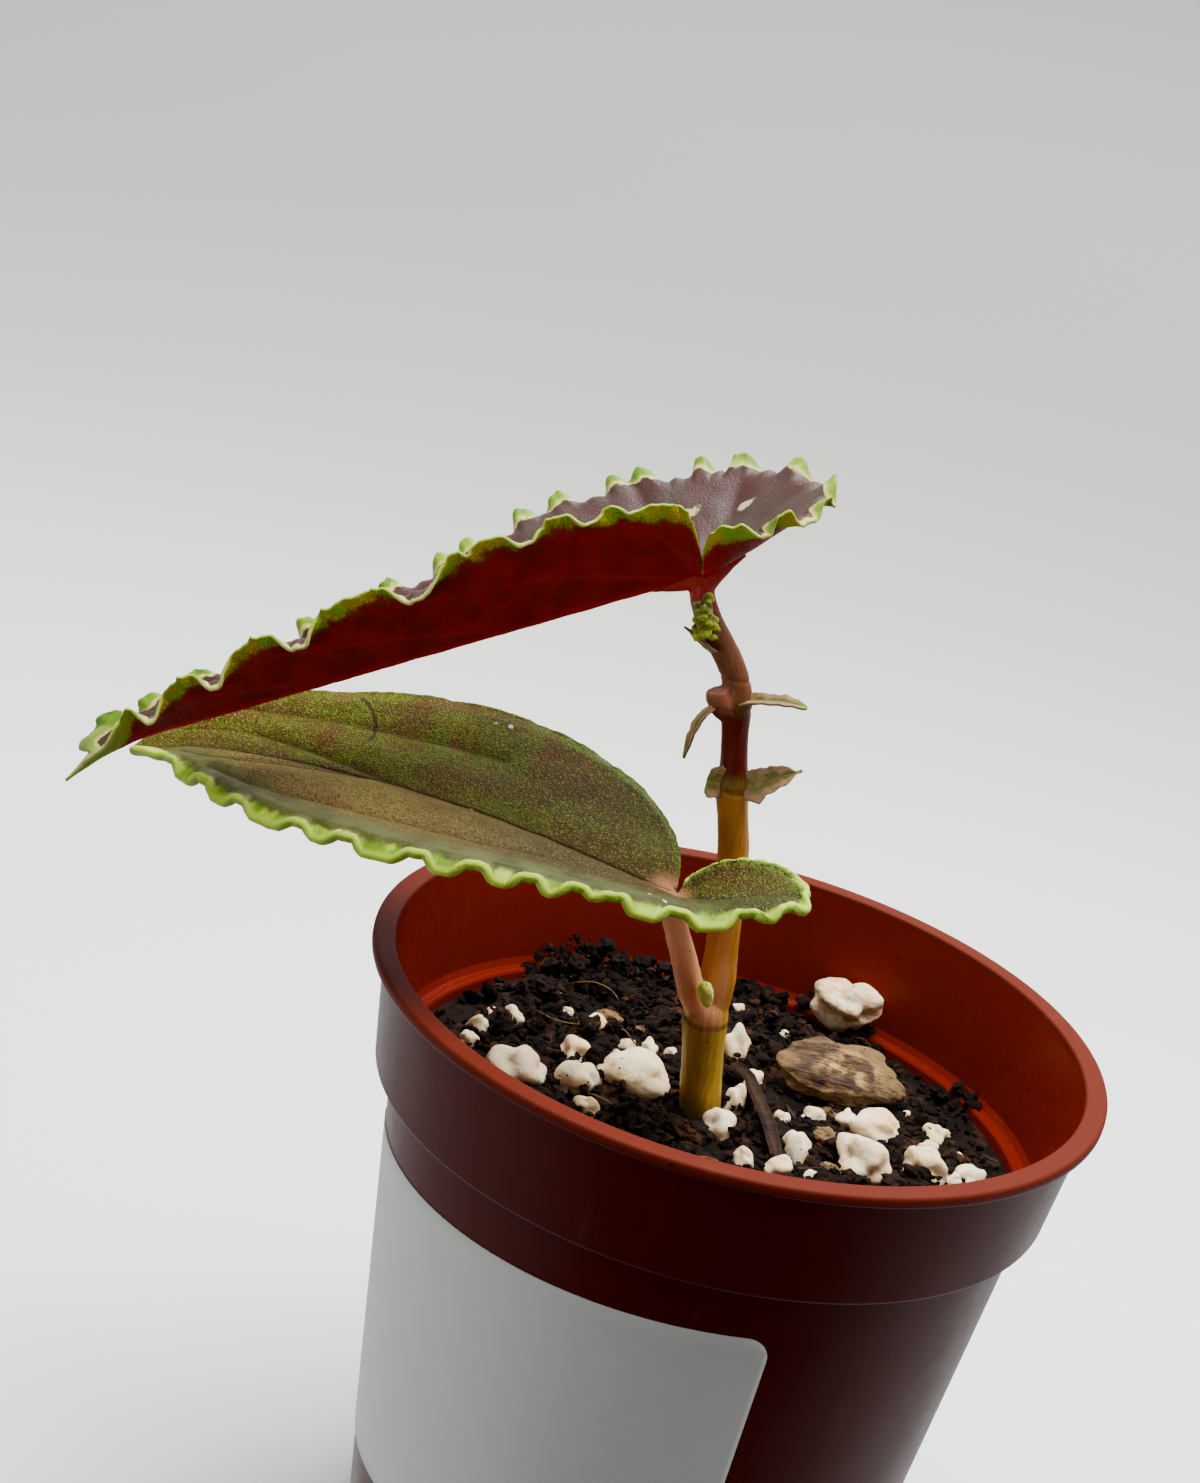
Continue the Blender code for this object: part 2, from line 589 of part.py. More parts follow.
def make_stem(parts):
    stem = tube("stem", TRUNK, 2, parts, 3)
    stem.name = "stem"
    limbs = new_collection("limbs")
    tube("main_stem", MAIN_STEM, 2, limbs, 3)
    tube("lower_petiole", LOWER_PETIOLE, 2, limbs, 3)
    tube("stub", STUB, 2, limbs)
    join_all(stem, limbs)
    stem.data.materials.clear()
    stem.data.materials.append(material("stem", COLOURS["stem"], 0.4))
    stem.data.shade_smooth()
    return stem


# The leaves

def elevation(half, angle, u):
    """How steeply the blade rises from its stalk at an angle to the midrib, in degrees."""
    if angle <= 90:
        return half["fold"] + half.get("twist", 0.0) * u
    if angle <= 180:
        t = (angle - 90) / 90
        return half["fold"] + (half["back"] - half["fold"]) * t * t * (3 - 2 * t)
    return half["back"] + (half["inner"] - half["back"]) * min(1.0, (angle - 180) / 60) ** 1.5


def blade_frame(leaf):
    stalk, tip = Vector(leaf["stalk"]), Vector(leaf["tip"])
    along = (tip - stalk).normalized()
    across = Vector((0, 0, 1)).cross(along).normalized()
    if across.y < 0:
        across.negate()
    up = along.cross(across).normalized()
    if up.z < 0:
        up.negate()
    return stalk, along, across, up


def midrib_height(leaf, u):
    """Arch of the midrib over the straight line from stalk to tip."""
    length = (Vector(leaf["tip"]) - Vector(leaf["stalk"])).length
    slope = leaf["arch"] * math.pi / length
    rise = slope * u if u < 0 else leaf["arch"] * math.sin(math.pi * min(u, length) / length)
    return rise - leaf["droop"] * max(0.0, u - leaf["droop_from"]) ** 2


def blade_point(leaf, half, u, v, ruffle):
    """Fold a point of the flat blade into place, and lift it by the ruffle along the normal."""
    stalk, along, across, up = blade_frame(leaf)
    across = across * half["side"]
    angle = math.degrees(math.atan2(v, u))
    if angle < -90:
        angle += 360
    tilt = math.radians(elevation(half, angle, u))
    reach = math.hypot(u, v)
    if angle <= 90:
        soft = math.hypot(v, leaf["keel"]) - leaf["keel"]
        point = along * u + across * (v * math.cos(tilt)) + up * (soft * math.sin(tilt))
        normal = up * math.cos(tilt) - across * math.sin(tilt)
    else:
        flat = along * (u / reach) + across * (v / reach)
        soft = math.hypot(reach, leaf["keel"]) - leaf["keel"]
        point = flat * (reach * math.cos(tilt)) + up * (soft * math.sin(tilt))
        normal = up * math.cos(tilt) - flat * math.sin(tilt)
    return (stalk + point + normal * ruffle + up * midrib_height(leaf, u)) * MM


def margin_wave(half, way, total):
    """How far the margin rolls out, from 0 on a crest to the trough's depth, and how near a crest is."""
    crests = [crest for crest, depth in half["waves"]] + [total]
    k = max(i for i, crest in enumerate(crests[:-1]) if crest <= way)
    share = (way - crests[k]) / (crests[k + 1] - crests[k])
    return half["waves"][k][1] * math.sin(math.pi * share) ** 2, math.cos(math.pi * share) ** 4


def rolled(distance, reach, width, bend):
    """Distance out and lift off the blade where its outer width curves over by an angle."""
    over = distance - (reach - width)
    if over <= 0 or abs(bend) < 0.01:
        return distance, 0.0
    turn = bend * over / width
    radius = width / bend
    return reach - width + radius * math.sin(turn), -radius * (1 - math.cos(turn))


def half_blade(bm, leaf, half):
    """One half of a blade: a grid whose columns run from the midrib out to the margin."""
    fan, columns = half["fan"], half["columns"]
    rim, _ = evenly(catmull_rom(half["outline"][:fan + 1], 6), columns)
    rest, _ = evenly(catmull_rom(half["outline"][fan:], 6), SPAN_COLUMNS)
    rim = np.vstack([rim, rest[1:]])
    way = np.concatenate([[0], np.cumsum(np.linalg.norm(np.diff(rim, axis=0), axis=1))])
    total = columns + SPAN_COLUMNS
    rows = INNER_ROWS + ROLL_ROWS
    grid = bmesh.ops.create_grid(bm, x_segments=total, y_segments=rows, size=1.0)
    for vert in grid["verts"]:
        i = round((vert.co.x + 1) / 2 * total)
        j = round((vert.co.y + 1) / 2 * rows)
        foot = np.array([rim[-1][0] * max(0, i - columns) / SPAN_COLUMNS, 0.0])
        flat_reach = max(1e-6, np.linalg.norm(rim[i] - foot))
        wave, crest = margin_wave(half, way[i], way[-1])
        ends = min(1.0, way[i] / 3, (way[-1] - way[i]) / 6)
        reach = flat_reach + leaf["tooth"] * crest * ends
        width = min(leaf["roll_width"], 0.6 * reach)
        distance = (reach - width) * min(1.0, j / INNER_ROWS) + width * max(0, j - INNER_ROWS) / ROLL_ROWS
        bend = math.radians(leaf["roll"] * wave - leaf["lift"] * (1 - wave)) * ends
        out, lift = rolled(distance, reach, width, bend)
        u, v = foot + (rim[i] - foot) / flat_reach * out
        vert.co = blade_point(leaf, half, u, v, lift)
    if half["side"] < 0:
        bmesh.ops.reverse_faces(bm, faces=list({f for vert in grid["verts"] for f in vert.link_faces}))


def make_leaf(name, leaf, parts):
    bm = bmesh.new()
    for half in leaf["halves"].values():
        half_blade(bm, leaf, half)
    bmesh.ops.remove_doubles(bm, verts=bm.verts[:], dist=0.03 * MM)
    bmesh.ops.triangulate(bm, faces=bm.faces[:])
    obj = new_object(name, mesh_from(bm, name), parts, COLOURS[name], 0.4)
    solid = obj.modifiers.new("thickness", "SOLIDIFY")
    solid.thickness = BLADE_THICKNESS
    solid.offset = 0.0
    return obj


# Stipules and buds

def make_stipule(name, shape, parts):
    """A small pointed blade, folded along its middle and bent."""
    foot = Vector(shape["foot"])
    along = Vector(shape["along"]).normalized()
    up = Vector(shape["up"])
    up = (up - along * up.dot(along)).normalized()
    across = up.cross(along)
    bm = bmesh.new()
    grid = bmesh.ops.create_grid(bm, x_segments=8, y_segments=4, size=1.0)
    for vert in grid["verts"]:
        t, s = (vert.co.x + 1) / 2, vert.co.y
        width = 0.5 * shape["width"] * (0.55 + 0.9 * t) * (1 - t ** 2.2) + 0.12
        u = shape["length"] * t
        rise = shape["bend"] * u * u + abs(s) * width * math.sin(math.radians(shape["fold"]))
        vert.co = (foot + along * u + across * (s * width) + up * rise) * MM
    bmesh.ops.triangulate(bm, faces=bm.faces[:])
    bmesh.ops.recalc_face_normals(bm, faces=bm.faces[:])
    obj = new_object(name, mesh_from(bm, name), parts, COLOURS["stipule"], 0.6)
    solid = obj.modifiers.new("thickness", "SOLIDIFY")
    solid.thickness = BLADE_THICKNESS
    solid.offset = 0.0
    return obj


def make_young_leaf(parts):
    """The crinkled young leaf, still rolled up, as one knobbly body."""
    foot, head = Vector(YOUNG_LEAF["foot"]), Vector(YOUNG_LEAF["head"])
    core_size = (2.2 * MM, 1.8 * MM, (head - foot).length * MM)
    turn = direction(foot, head).to_track_quat("Z", "Y").to_matrix()
    core = lump("young_leaf", (foot + head) / 2 * MM, core_size, 2, 0.3, 3, parts, turn)
    knobs = new_collection("knobs")
    count = YOUNG_LEAF["blobs"]
    for i in range(count):
        t = (i + 0.5) / count
        around = turn @ Vector((math.cos(2.4 * i), math.sin(2.4 * i), 0))
        centre = foot.lerp(head, t) + around * YOUNG_LEAF["radius"] * 0.55 * (1 - 0.5 * t)
        lump("knob", centre * MM, (1.3 * MM, 1.3 * MM, 1.3 * MM), 1, 0.3, 40 + i, knobs)
    join_all(core, knobs)
    core.data.materials.clear()
    core.data.materials.append(material("young_leaf", COLOURS["young"], 0.5))
    return core


def make_side_bud(parts):
    foot, head = Vector(SIDE_BUD["foot"]), Vector(SIDE_BUD["head"])
    turn = direction(foot, head).to_track_quat("Z", "Y").to_matrix()
    width = 2 * SIDE_BUD["radius"] * MM
    size = (width, width, (head - foot).length * MM)
    bud = lump("side_bud", (foot + head) / 2 * MM, size, 2, 0.2, 9, parts, turn)
    bud.data.materials.append(material("side_bud", COLOURS["young"], 0.5))
    return bud


def main():
    clear_scene()
    parts = new_collection("potted_begonia")
    cutters = new_collection("cutters")
    make_pot(parts, cutters)
    make_label(parts)
    make_potting_mix(parts, cutters)
    make_bark_chip(parts)
    make_ledge_grain(parts)
    make_stem(parts)
    make_leaf("leaf_upper", LEAF_UPPER, parts)
    make_leaf("leaf_lower", LEAF_LOWER, parts)
    for name, shape in STIPULES.items():
        make_stipule(name, shape, parts)
    make_young_leaf(parts)
    make_side_bud(parts)


main()
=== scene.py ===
# Potted begonia: a young begonia in a small red nursery pot with a blank label.
# Metres, +Z up, the origin under the middle of the pot.
import math
import random

import bmesh
import bpy
import numpy as np
from mathutils import Matrix, Vector, noise


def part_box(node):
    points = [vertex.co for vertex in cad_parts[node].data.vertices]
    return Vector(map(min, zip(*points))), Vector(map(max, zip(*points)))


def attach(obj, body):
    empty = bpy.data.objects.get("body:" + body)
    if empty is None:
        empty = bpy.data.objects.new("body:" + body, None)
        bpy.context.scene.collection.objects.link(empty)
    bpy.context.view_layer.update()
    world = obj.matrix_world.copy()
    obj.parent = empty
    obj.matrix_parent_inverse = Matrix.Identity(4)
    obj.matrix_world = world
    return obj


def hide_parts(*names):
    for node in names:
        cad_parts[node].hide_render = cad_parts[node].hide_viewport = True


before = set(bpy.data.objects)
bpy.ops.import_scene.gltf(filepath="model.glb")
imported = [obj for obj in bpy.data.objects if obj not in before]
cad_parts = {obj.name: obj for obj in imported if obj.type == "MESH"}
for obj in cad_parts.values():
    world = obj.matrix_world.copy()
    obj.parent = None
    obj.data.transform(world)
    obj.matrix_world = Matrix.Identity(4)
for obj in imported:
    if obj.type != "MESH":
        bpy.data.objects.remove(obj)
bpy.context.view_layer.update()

mm = 0.001
fullTurn = 2 * math.pi
sharpAngle = math.radians(50)


# Meshes

def addObject(name, data):
    made = bpy.data.objects.new(name, data)
    bpy.context.scene.collection.objects.link(made)
    return made


def takeMesh(bm, name):
    mesh = bpy.data.meshes.new(name)
    bm.to_mesh(mesh)
    bm.free()
    return mesh


def addPiece(bm, name, node, slot, *materials):
    mesh = takeMesh(bm, name)
    mesh.shade_smooth()
    mesh.set_sharp_from_angle(angle=sharpAngle)
    for mat in materials:
        mesh.materials.append(mat)
    piece = addObject(name, mesh)
    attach(piece, "root")
    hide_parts(node)
    return piece


def applyModifiers(piece):
    baked = bpy.data.meshes.new_from_object(piece.evaluated_get(bpy.context.evaluated_depsgraph_get()))
    piece.modifiers.clear()
    piece.data = baked


def thicken(piece, thickness, offset):
    solid = piece.modifiers.new("thickness", "SOLIDIFY")
    solid.thickness = thickness
    solid.offset = offset
    return solid


def fuse(piece, voxel, passes):
    # one skin over parts that overlap, smoothed a little
    remesh = piece.modifiers.new("fuse", "REMESH")
    remesh.mode = "VOXEL"
    remesh.voxel_size = voxel
    remesh.use_smooth_shade = True
    soften = piece.modifiers.new("soften", "SMOOTH")
    soften.factor = 0.5
    soften.iterations = passes
    applyModifiers(piece)


def polar(radius, angle):
    return radius * math.cos(angle), radius * math.sin(angle)


def turned(first, second, axes="ZX"):
    return Matrix.Rotation(first, 3, axes[0]) @ Matrix.Rotation(second, 3, axes[1])


def smoothRun(points, perSpan):
    # a smooth run of points through the given ones
    pts = np.array(points, dtype=float)
    ends = np.vstack([2 * pts[0] - pts[1], pts, 2 * pts[-1] - pts[-2]])
    run = []
    for i in range(len(pts) - 1):
        p0, p1, p2, p3 = ends[i:i + 4]
        for t in np.linspace(0, 1, perSpan, endpoint=False):
            run.append(0.5 * (2 * p1 + (p2 - p0) * t + (2 * p0 - 5 * p1 + 4 * p2 - p3) * t ** 2
                              + (3 * p1 - p0 - 3 * p2 + p3) * t ** 3))
    run.append(pts[-1])
    return np.array(run)


def evenly(points, count):
    steps = np.linalg.norm(np.diff(points, axis=0), axis=1)
    length = np.concatenate([[0], np.cumsum(steps)])
    at = np.linspace(0, length[-1], count + 1)
    return np.stack([np.interp(at, length, points[:, k]) for k in range(points.shape[1])], axis=1)


def roundedPath(corners, arcSteps):
    # each corner is x, y and the radius of its rounding
    path = []
    for i, (x, y, radius) in enumerate(corners):
        here = Vector((x, y))
        if radius == 0:
            path.append(here)
            continue
        before = (Vector(corners[i - 1][:2]) - here).normalized()
        after = (Vector(corners[i + 1][:2]) - here).normalized()
        reach = radius / math.tan(before.angle(after) / 2)
        start, end = here + before * reach, here + after * reach
        for t in (k / arcSteps for k in range(arcSteps + 1)):
            path.append(start.lerp(here, t).lerp(here.lerp(end, t), t))
    return path


def spinProfile(path, steps):
    bm = bmesh.new()
    points = [bm.verts.new((p.x, 0, p.y)) for p in path]
    for pair in zip(points, points[1:]):
        bm.edges.new(pair)
    bmesh.ops.spin(bm, geom=bm.verts[:] + bm.edges[:], cent=(0, 0, 0), axis=(0, 0, 1),
                   steps=steps, angle=fullTurn, use_merge=True)
    bmesh.ops.remove_doubles(bm, verts=bm.verts[:], dist=0.002 * mm)
    bmesh.ops.recalc_face_normals(bm, faces=bm.faces[:])
    return bm


def addLump(bm, centre, size, subdivisions, rough, number, turn=None, fine=0.0):
    # an uneven grain: broad swellings, and finer pits where asked
    made = bmesh.ops.create_icosphere(bm, subdivisions=subdivisions, radius=1.0)
    turn = turn or Matrix.Identity(3)
    offset = Vector((number * 3.1, number * 1.7, number * 0.9))
    for v in made["verts"]:
        swell = 1 + rough * noise.noise(v.co * 1.3 + offset)
        if fine:
            swell += fine * noise.fractal(v.co * 3.4 + offset, 0.9, 2.1, 3)
        v.co = turn @ Vector([0.5 * s * swell * c for s, c in zip(size, v.co)]) + Vector(centre)
    return made["verts"]


def newCurve(name, sides):
    curve = bpy.data.curves.new(name, "CURVE")
    curve.dimensions = "3D"
    curve.bevel_depth = mm
    curve.bevel_resolution = sides
    curve.use_fill_caps = True
    return curve


def addSpline(curve, points):
    # each point is x, y, z and its radius in millimetres
    spline = curve.splines.new("POLY")
    spline.points.add(len(points) - 1)
    for point, (x, y, z, radius) in zip(spline.points, points):
        point.co = (x, y, z, 1)
        point.radius = radius


def curveMesh(curve):
    guide = addObject(curve.name, curve)
    mesh = bpy.data.meshes.new_from_object(guide.evaluated_get(bpy.context.evaluated_depsgraph_get()))
    bpy.data.objects.remove(guide)
    bm = bmesh.new()
    bm.from_mesh(mesh)
    bmesh.ops.remove_doubles(bm, verts=bm.verts[:], dist=0.005 * mm)
    return bm


# Shader nodes

def rgb(red, green, blue):
    # a colour as the eye reads it, 0 to 255
    return tuple(((c / 255 + 0.055) / 1.055) ** 2.4 if c > 10 else c / 255 / 12.92
                 for c in (red, green, blue)) + (1.0,)


def grey(value):
    return value, value, value, 1.0


def addNode(tree, kind, inputs=None, **settings):
    node = tree.nodes.new(kind)
    for name, value in settings.items():
        setattr(node, name, value)
    for name, value in (inputs or {}).items():
        if isinstance(value, Value):
            tree.links.new(value.socket, node.inputs[name])
        else:
            node.inputs[name].default_value = value
    return node


class Value:
    # what a shader node puts out, to reckon with as with a number
    def __init__(self, node, output=0):
        self.socket, self.tree = node.outputs[output], node.id_data

    def calc(self, operation, first, second=0.0):
        return Value(addNode(self.tree, "ShaderNodeMath", {0: first, 1: second}, operation=operation))

    def __add__(self, other):
        return self.calc("ADD", self, other)

    def __mul__(self, other):
        return self.calc("MULTIPLY", self, other)

    def __sub__(self, other):
        return self.calc("SUBTRACT", self, other)

    def __rsub__(self, other):
        return self.calc("SUBTRACT", other, self)

    def __lt__(self, other):
        return self.calc("LESS_THAN", self, other)

    def __abs__(self):
        return self.calc("ABSOLUTE", self)

    def orMore(self, other):
        return self.calc("MAXIMUM", self, other)


def mix(factor, first, second):
    return Value(addNode(factor.tree, "ShaderNodeMix", {0: factor, 6: first, 7: second}, data_type="RGBA"), 2)


def mask(value, low, high):
    # 0 below low and 1 above high, or the other way round where low is the larger
    ends = {"Value": value, "From Min": low, "From Max": high}
    return Value(addNode(value.tree, "ShaderNodeMapRange", ends, interpolation_type="SMOOTHSTEP"))


def between(low, high, value):
    return Value(addNode(value.tree, "ShaderNodeMapRange", {"Value": value, "To Min": low, "To Max": high}))


def noiseAt(place, scale, detail=3, roughness=0.55, distortion=0):
    return Value(addNode(place.tree, "ShaderNodeTexNoise", {
        "Vector": place, "Scale": scale, "Detail": detail, "Roughness": roughness, "Distortion": distortion}))


def stretched(place, scale, turn=(0, 0, 0)):
    return Value(addNode(place.tree, "ShaderNodeMapping",
                         {"Vector": place, "Scale": scale, "Rotation": turn}))


def vectorCalc(operation, first, second=(0, 0, 0), output="Vector"):
    node = addNode(first.tree, "ShaderNodeVectorMath", {0: first, 1: second}, operation=operation)
    return Value(node, output)


def farFrom(place, spot):
    return vectorCalc("DISTANCE", place, spot, "Value")


def axesOf(place):
    node = addNode(place.tree, "ShaderNodeSeparateXYZ", {"Vector": place})
    return [Value(node, axis) for axis in "XYZ"]


def objectPlace(mat):
    return Value(addNode(mat.node_tree, "ShaderNodeTexCoord"), "Object")


def attribute(mat, name, output="Fac"):
    return Value(addNode(mat.node_tree, "ShaderNodeAttribute", attribute_name=name), output)


def newMaterial(name, roughness, specular, **sockets):
    mat = bpy.data.materials.new(name)
    mat.use_nodes = True
    inputs = mat.node_tree.nodes["Principled BSDF"].inputs
    inputs["Roughness"].default_value = roughness
    inputs["Specular IOR Level"].default_value = specular
    for socket, value in sockets.items():
        inputs[socket.replace("_", " ")].default_value = value
    return mat


def finish(mat, colour, rough=None, height=None, depth=0.0):
    # the shader's colour and roughness, and a bump of the given depth
    sockets = {"Base Color": colour}
    if rough:
        sockets["Roughness"] = rough
    if height:
        bump = addNode(mat.node_tree, "ShaderNodeBump", {"Height": height, "Distance": depth})
        sockets["Normal"] = Value(bump)
    for socket, value in sockets.items():
        mat.node_tree.links.new(value.socket, mat.node_tree.nodes["Principled BSDF"].inputs[socket])
    return mat


def startGroup(name, numbers, outputs):
    # a node group that is given a place and some numbers
    group = bpy.data.node_groups.new(name, "ShaderNodeTree")
    group.interface.new_socket("Place", in_out="INPUT", socket_type="NodeSocketVector")
    for label in numbers:
        group.interface.new_socket(label, in_out="INPUT", socket_type="NodeSocketFloat")
    for label in outputs:
        group.interface.new_socket(label, in_out="OUTPUT", socket_type="NodeSocketFloat")
    given = group.nodes.new("NodeGroupInput")
    return group, *(Value(given, label) for label in ("Place", *numbers))


def endGroup(group, *values):
    out = group.nodes.new("NodeGroupOutput")
    for i, value in enumerate(values):
        group.links.new(value.socket, out.inputs[i])
    return group


def useGroup(group, place, **numbers):
    return addNode(place.tree, "ShaderNodeGroup", {"Place": place, **numbers}, node_tree=group)


def cellsAt(place, scale):
    # the distance to the middle of a cell, and a number drawn for each cell
    cells = addNode(place.tree, "ShaderNodeTexVoronoi", {"Vector": place, "Scale": scale})
    drawn = addNode(place.tree, "ShaderNodeSeparateColor", {"Color": Value(cells, "Color")})
    return Value(cells, "Distance"), Value(drawn)


def buildGrainGroup():
    # grain of living tissue: fine cells and broader cloudy patches
    group, place, cells, clouds = startGroup("tissueGrain", ["Cells", "Clouds"], ["Cell", "Cloud", "Height"])
    distance, drawn = cellsAt(place, cells)
    return endGroup(group, drawn, noiseAt(place, clouds, 4, 0.6), 1 - distance)


def buildNetGroup():
    # the net of small veins: 1 on a vein, 0 between
    group, place, scale, width = startGroup("veinNet", ["Scale", "Width"], ["Net"])
    warp = Value(addNode(group, "ShaderNodeTexNoise", {"Vector": place, "Scale": 900, "Detail": 2}), "Color")
    place = vectorCalc("ADD", place, vectorCalc("MULTIPLY", warp, (0.6 * mm, 0.6 * mm, 0.6 * mm)))
    edges = addNode(group, "ShaderNodeTexVoronoi", {"Vector": place, "Scale": scale},
                    feature="DISTANCE_TO_EDGE")
    return endGroup(group, mask(Value(edges, "Distance"), width, 0))


def buildSpeckGroup():
    # scattered dark specks of soil: 1 on a speck
    group, place, scale, amount = startGroup("soilSpecks", ["Scale", "Amount"], ["Speck"])
    distance, drawn = cellsAt(place, scale)
    return endGroup(group, (drawn < amount) * mask(distance, 0.22, 0.14))


grainGroup, netGroup, speckGroup = buildGrainGroup(), buildNetGroup(), buildSpeckGroup()


def grain(place, cells, clouds):
    node = useGroup(grainGroup, place, Cells=cells, Clouds=clouds)
    return [Value(node, output) for output in ("Cell", "Cloud", "Height")]


def veinNet(place, scale, width):
    return Value(useGroup(netGroup, place, Scale=scale, Width=width))


def soilSpecks(place, scale, amount):
    return Value(useGroup(speckGroup, place, Scale=scale, Amount=amount))


# The pot: thin moulded plastic with a rolled rim, a collar, a shoulder and six drain holes

pot = dict(height=72 * mm, rimRadius=40 * mm, rimThickness=1.3 * mm, collarTop=38.6 * mm,
           collarFoot=37.1 * mm, collarFootZ=58.2 * mm, bodyTop=35.2 * mm, bodyFoot=28.8 * mm, wall=mm,
           floor=1.5 * mm, ledgeRise=1.3 * mm, steps=192, drains=6, drainRadius=3 * mm, drainCircle=17 * mm)


def bodyRadius(z):
    return pot["bodyFoot"] + (pot["bodyTop"] - pot["bodyFoot"]) * z / pot["collarFootZ"]


def innerRadius(z):
    return bodyRadius(z) - pot["wall"]


ledgeZ = pot["collarFootZ"] - mm
ledgeInner, collarInner = innerRadius(ledgeZ), pot["collarFoot"] - pot["wall"]


def potPath():
    top, lip, foot = pot["height"], pot["height"] - pot["rimThickness"], pot["collarFootZ"]
    return roundedPath([
        (0, 0, 0),
        (pot["bodyFoot"], 0, 1.2 * mm),
        (pot["bodyTop"], foot - 0.8 * mm, 0.3 * mm),
        (pot["collarFoot"], foot, 0.6 * mm),
        (pot["collarTop"], lip - 0.15 * mm, 0.25 * mm),
        (pot["rimRadius"], lip, 0.5 * mm),
        (pot["rimRadius"], top, 0.55 * mm),
        (pot["collarTop"] - pot["wall"], top, 0.4 * mm),
        (collarInner, ledgeZ + pot["ledgeRise"], 0.3 * mm),
        (collarInner - 0.5 * mm, ledgeZ + 0.5 * mm, 0.3 * mm),
        (ledgeInner + 0.85 * mm, ledgeZ + 0.35 * mm, 0.15 * mm),
        (ledgeInner + 0.5 * mm, ledgeZ + 0.8 * mm, 0.25 * mm),
        (ledgeInner + 0.1 * mm, ledgeZ + 0.3 * mm, 0.25 * mm),
        (innerRadius(pot["floor"]), pot["floor"], 0.8 * mm),
        (0, pot["floor"], 0),
    ], 5)


def potMaterial():
    mat = newMaterial("potPlastic", 0.5, 0.085)
    place, inside = objectPlace(mat), attribute(mat, "inside")
    cloud = noiseAt(place, 35)
    # painted shade and light: the outside of the one plastic is painted a darker red, as shade, and the inner
    # wall a brighter red, as lit
    red = mix(cloud, rgb(74, 1, 0), rgb(84, 8, 0))
    red = mix(inside, red, mix(cloud, rgb(100, 11, 0), rgb(120, 22, 1)))
    # painted sheen: the top of the rim is painted a duller orange-brown, standing in for its sheen
    rim = inside * mask(axesOf(place)[2], pot["height"] - 1.2 * mm, pot["height"] - 0.2 * mm)
    red = mix(rim, red, rgb(90, 24, 4))
    # dust that settles as faint smears, and soil specks on the inner wall and the ledge
    smear = mask(noiseAt(stretched(place, (1, 1, 0.35)), 160, 6, 0.7), 0.56, 0.76)
    red = mix(smear * 0.12, red, rgb(130, 80, 62))
    dirt = soilSpecks(place, 900, 0.06) * mask(noiseAt(place, 60, 2), 0.52, 0.62) * inside
    red = mix(dirt, red, rgb(34, 18, 12))
    rough = mix(rim, between(0.2, 0.34, noiseAt(place, 420, 4)), grey(0.6))
    scratches = noiseAt(stretched(place, (1, 1, 9)), 700, 2)
    return finish(mat, red, mix(dirt, rough, grey(0.9)), noiseAt(place, 55, 1) + scratches * 0.03, 0.35 * mm)


def makePot():
    path = potPath()
    rimStart = next(i for i, p in enumerate(path) if p.y > pot["height"] - 0.9 * mm)
    bm = spinProfile(path, pot["steps"])
    inside = bm.verts.layers.float.new("inside")
    for v in bm.verts:
        here = Vector((math.hypot(v.co.x, v.co.y), v.co.z))
        nearest = min(range(len(path)), key=lambda i: (path[i] - here).length_squared)
        v[inside] = float(nearest >= rimStart)
    piece = addPiece(bm, "potShell", "pot", "pot_plastic", potMaterial())
    holes = bmesh.new()
    for i in range(pot["drains"]):
        around = Vector((*polar(1, math.radians(30) + fullTurn * i / pot["drains"]), 0))
        bmesh.ops.create_cone(holes, cap_ends=True, segments=40, radius1=pot["drainRadius"],
                              radius2=pot["drainRadius"], depth=4 * pot["floor"],
                              matrix=Matrix.Translation(around * pot["drainCircle"]))
    cutter = addObject("drainHoles", takeMesh(holes, "drainHoles"))
    cut = piece.modifiers.new("drains", "BOOLEAN")
    cut.operation = "DIFFERENCE"
    cut.object = cutter
    applyModifiers(piece)
    bpy.data.objects.remove(cutter)
    print("pot done")


# The label: a thin blank sheet with round corners, wrapped on the tapered body

label = dict(length=63.5 * mm, height=38.1 * mm, corner=2.6 * mm, thickness=0.14 * mm, topZ=51.2 * mm,
             rightAngle=math.radians(15), slope=0.03, columns=110, rows=24, clear=0.05 * mm)


def wrapOnBody(x, y):
    z = label["topZ"] - label["height"] / 2 + y + x * label["slope"]
    radius, mean = bodyRadius(z) + label["clear"], bodyRadius(label["topZ"]) + 0.3 * mm
    angle = label["rightAngle"] + (x - label["length"] / 2) / mean
    return Vector((radius * math.sin(angle), -radius * math.cos(angle), z))


def labelMaterial():
    mat = newMaterial("labelFilm", 0.5, 0.5, Coat_Weight=0.25, Coat_Roughness=0.25)
    place = objectPlace(mat)
    white = mix(noiseAt(place, 45), rgb(222, 222, 219), rgb(233, 233, 231))
    smudge = mask(noiseAt(place, 110, 5, 0.65), 0.62, 0.8)
    white = mix(smudge * 0.16, white, rgb(176, 166, 156))
    fibres = noiseAt(stretched(place, (1, 1, 3)), 1500)
    white = mix(mask(fibres, 0.5, 0.7) * 0.06, white, rgb(150, 150, 150))
    rough = between(0.36, 0.52, noiseAt(place, 300))
    return finish(mat, white, rough, noiseAt(place, 90, 2) + fibres * 0.05, 0.1 * mm)


